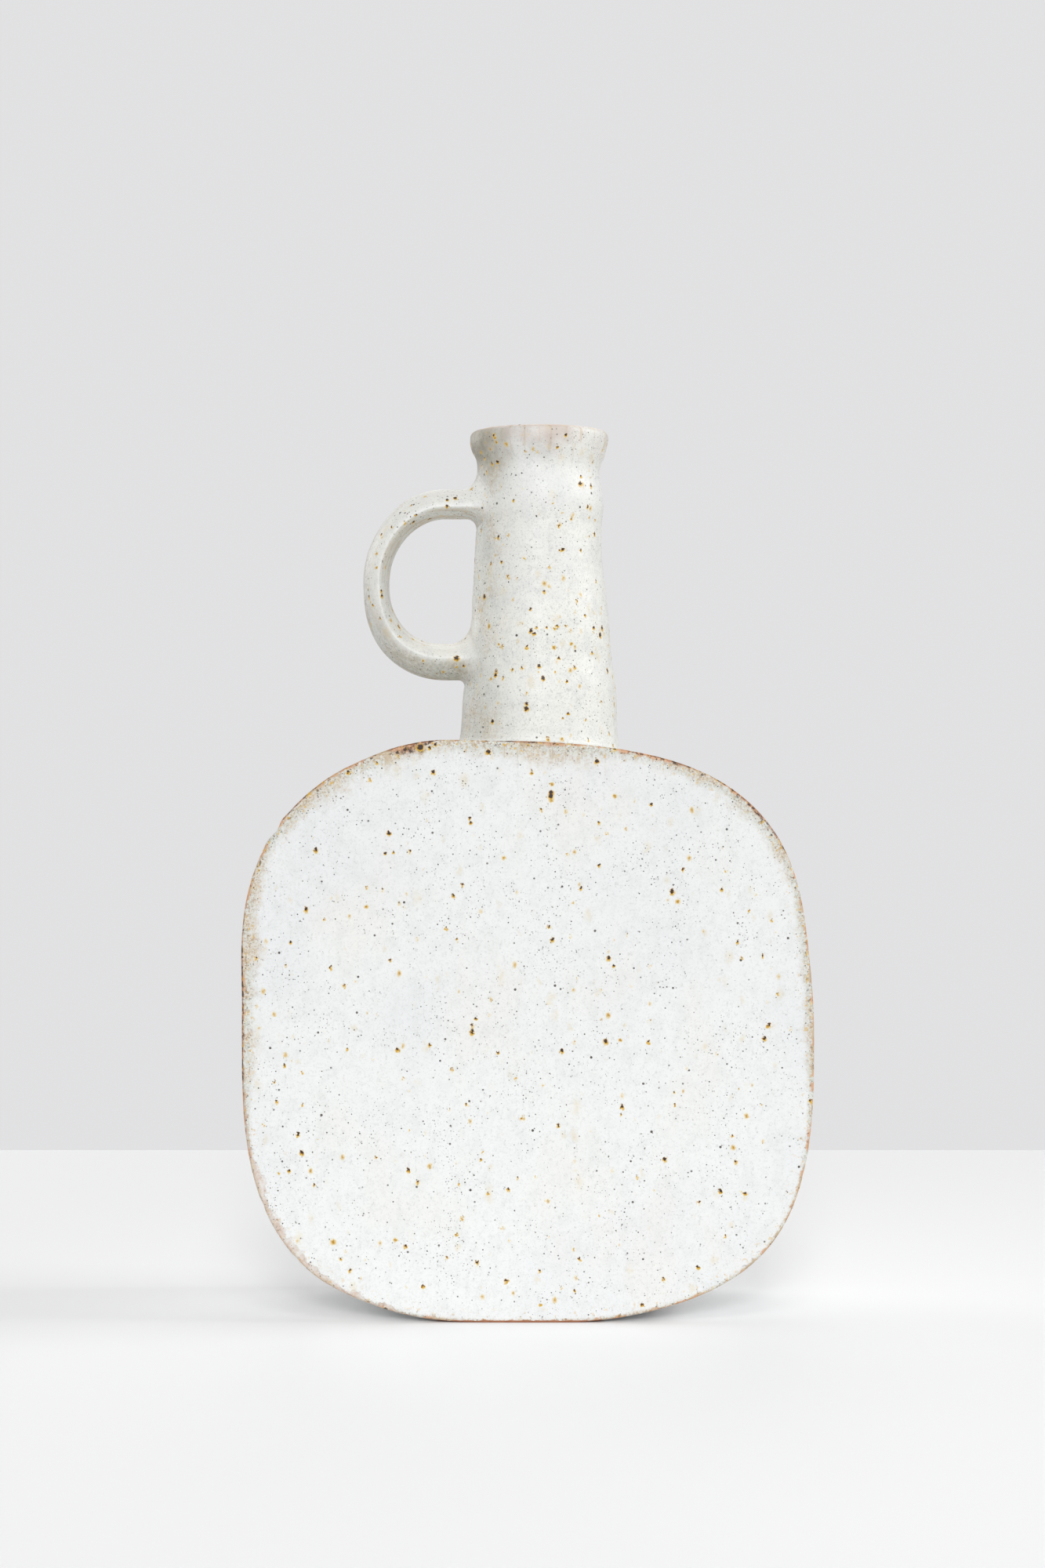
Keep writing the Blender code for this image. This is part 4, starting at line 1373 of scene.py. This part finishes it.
class VASE_OT_slabs(bpy.types.Operator):
    """Model the front and the back slab"""

    bl_idname = "vase.slabs"
    bl_label = "Slabs"

    def execute(self, context):
        outline = Outline()
        front = make_slab("front_slab_glazed", "front_slab", -1.0, outline)
        back = make_slab("back_slab_glazed", "back_slab", 1.0, outline)
        glaze_all((front, back), "face_glaze", context.scene.vase_glaze.white, weather_edges, DRUM_SPECKS,
                  FACE_IRON, FACE_AMBER)
        return {"FINISHED"}


class VASE_OT_walls(bpy.types.Operator):
    """Model the four strips of the drum's wall"""

    bl_idname = "vase.walls"
    bl_label = "Walls"

    def execute(self, context):
        outline = Outline()
        walls = [make_wall(name, node, start, end, outline) for name, node, start, end, slot in WALLS]
        cut_neck_hole(walls[-1])
        glaze_all(walls, "wall_glaze", context.scene.vase_glaze.white, weather_edges, DRUM_SPECKS)
        return {"FINISHED"}


class VASE_OT_neck(bpy.types.Operator):
    """Model the thrown neck"""

    bl_idname = "vase.neck"
    bl_label = "Neck"

    def execute(self, context):
        neck = make_neck(Outline())
        glaze_all([neck], "neck_glaze", context.scene.vase_glaze.warm_white, weather_neck_with_painted_light, NECK_SPECKS,
                  NECK_IRON, NECK_AMBER)
        return {"FINISHED"}


class VASE_OT_handle(bpy.types.Operator):
    """Model the strap handle"""

    bl_idname = "vase.handle"
    bl_label = "Handle"

    def execute(self, context):
        handle = make_handle()
        glaze_all([handle], "handle_glaze", context.scene.vase_glaze.warm_white, weather_handle_with_painted_light,
                  HANDLE_SPECKS, HANDLE_IRON, HANDLE_AMBER)
        return {"FINISHED"}


class VASE_OT_seam_coils(bpy.types.Operator):
    """Finish the coils of clay inside the drum's corners"""

    bl_idname = "vase.seam_coils"
    bl_label = "Seam coils"

    def execute(self, context):
        finish = make_clay("inner_clay", context.scene.vase_glaze.inner_clay)
        for name in ("front_seam_coil", "back_seam_coil"):
            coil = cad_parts[name]
            coil.data.materials.clear()
            coil.data.materials.append(finish)
        return {"FINISHED"}


class VASE_OT_stage(bpy.types.Operator):
    """Set up the table, the light and the camera"""

    bl_idname = "vase.stage"
    bl_label = "Stage"

    def execute(self, context):
        stage = context.scene.vase_stage
        make_table(stage)
        make_world(stage)
        make_camera(stage)
        for lamp in LAMPS:
            add_light(*lamp)
        context.scene.view_settings.view_transform = "Standard"
        return {"FINISHED"}


class VASE_PT_finish(bpy.types.Panel):
    """Buttons for each step and the values they use"""

    bl_idname = "VASE_PT_finish"
    bl_label = "Stoneware vase"
    bl_space_type = "VIEW_3D"
    bl_region_type = "UI"
    bl_category = "Vase"

    def draw(self, context):
        for step in STEPS:
            self.layout.operator(step.bl_idname)
        for group in (context.scene.vase_sizes, context.scene.vase_glaze, context.scene.vase_stage):
            box = self.layout.box()
            for name in group.__annotations__:
                box.prop(group, name)


GROUPS = {"vase_sizes": VaseSizes, "vase_glaze": VaseGlaze, "vase_stage": VaseStage}
STEPS = (VASE_OT_slabs, VASE_OT_walls, VASE_OT_neck, VASE_OT_handle, VASE_OT_seam_coils, VASE_OT_stage)


def register():
    """Register the classes and hang the values on the scene."""
    for part in (*GROUPS.values(), *STEPS, VASE_PT_finish):
        bpy.utils.register_class(part)
    for name, group in GROUPS.items():
        setattr(bpy.types.Scene, name, PointerProperty(type=group))


def unregister():
    """Take away what register() added."""
    for name in GROUPS:
        delattr(bpy.types.Scene, name)
    for part in (VASE_PT_finish, *reversed(STEPS), *reversed(GROUPS.values())):
        bpy.utils.unregister_class(part)


def main():
    """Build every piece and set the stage."""
    register()
    bpy.ops.vase.slabs()
    bpy.ops.vase.walls()
    bpy.ops.vase.neck()
    bpy.ops.vase.handle()
    bpy.ops.vase.seam_coils()
    bpy.ops.vase.stage()


if __name__ == "__main__":
    main()
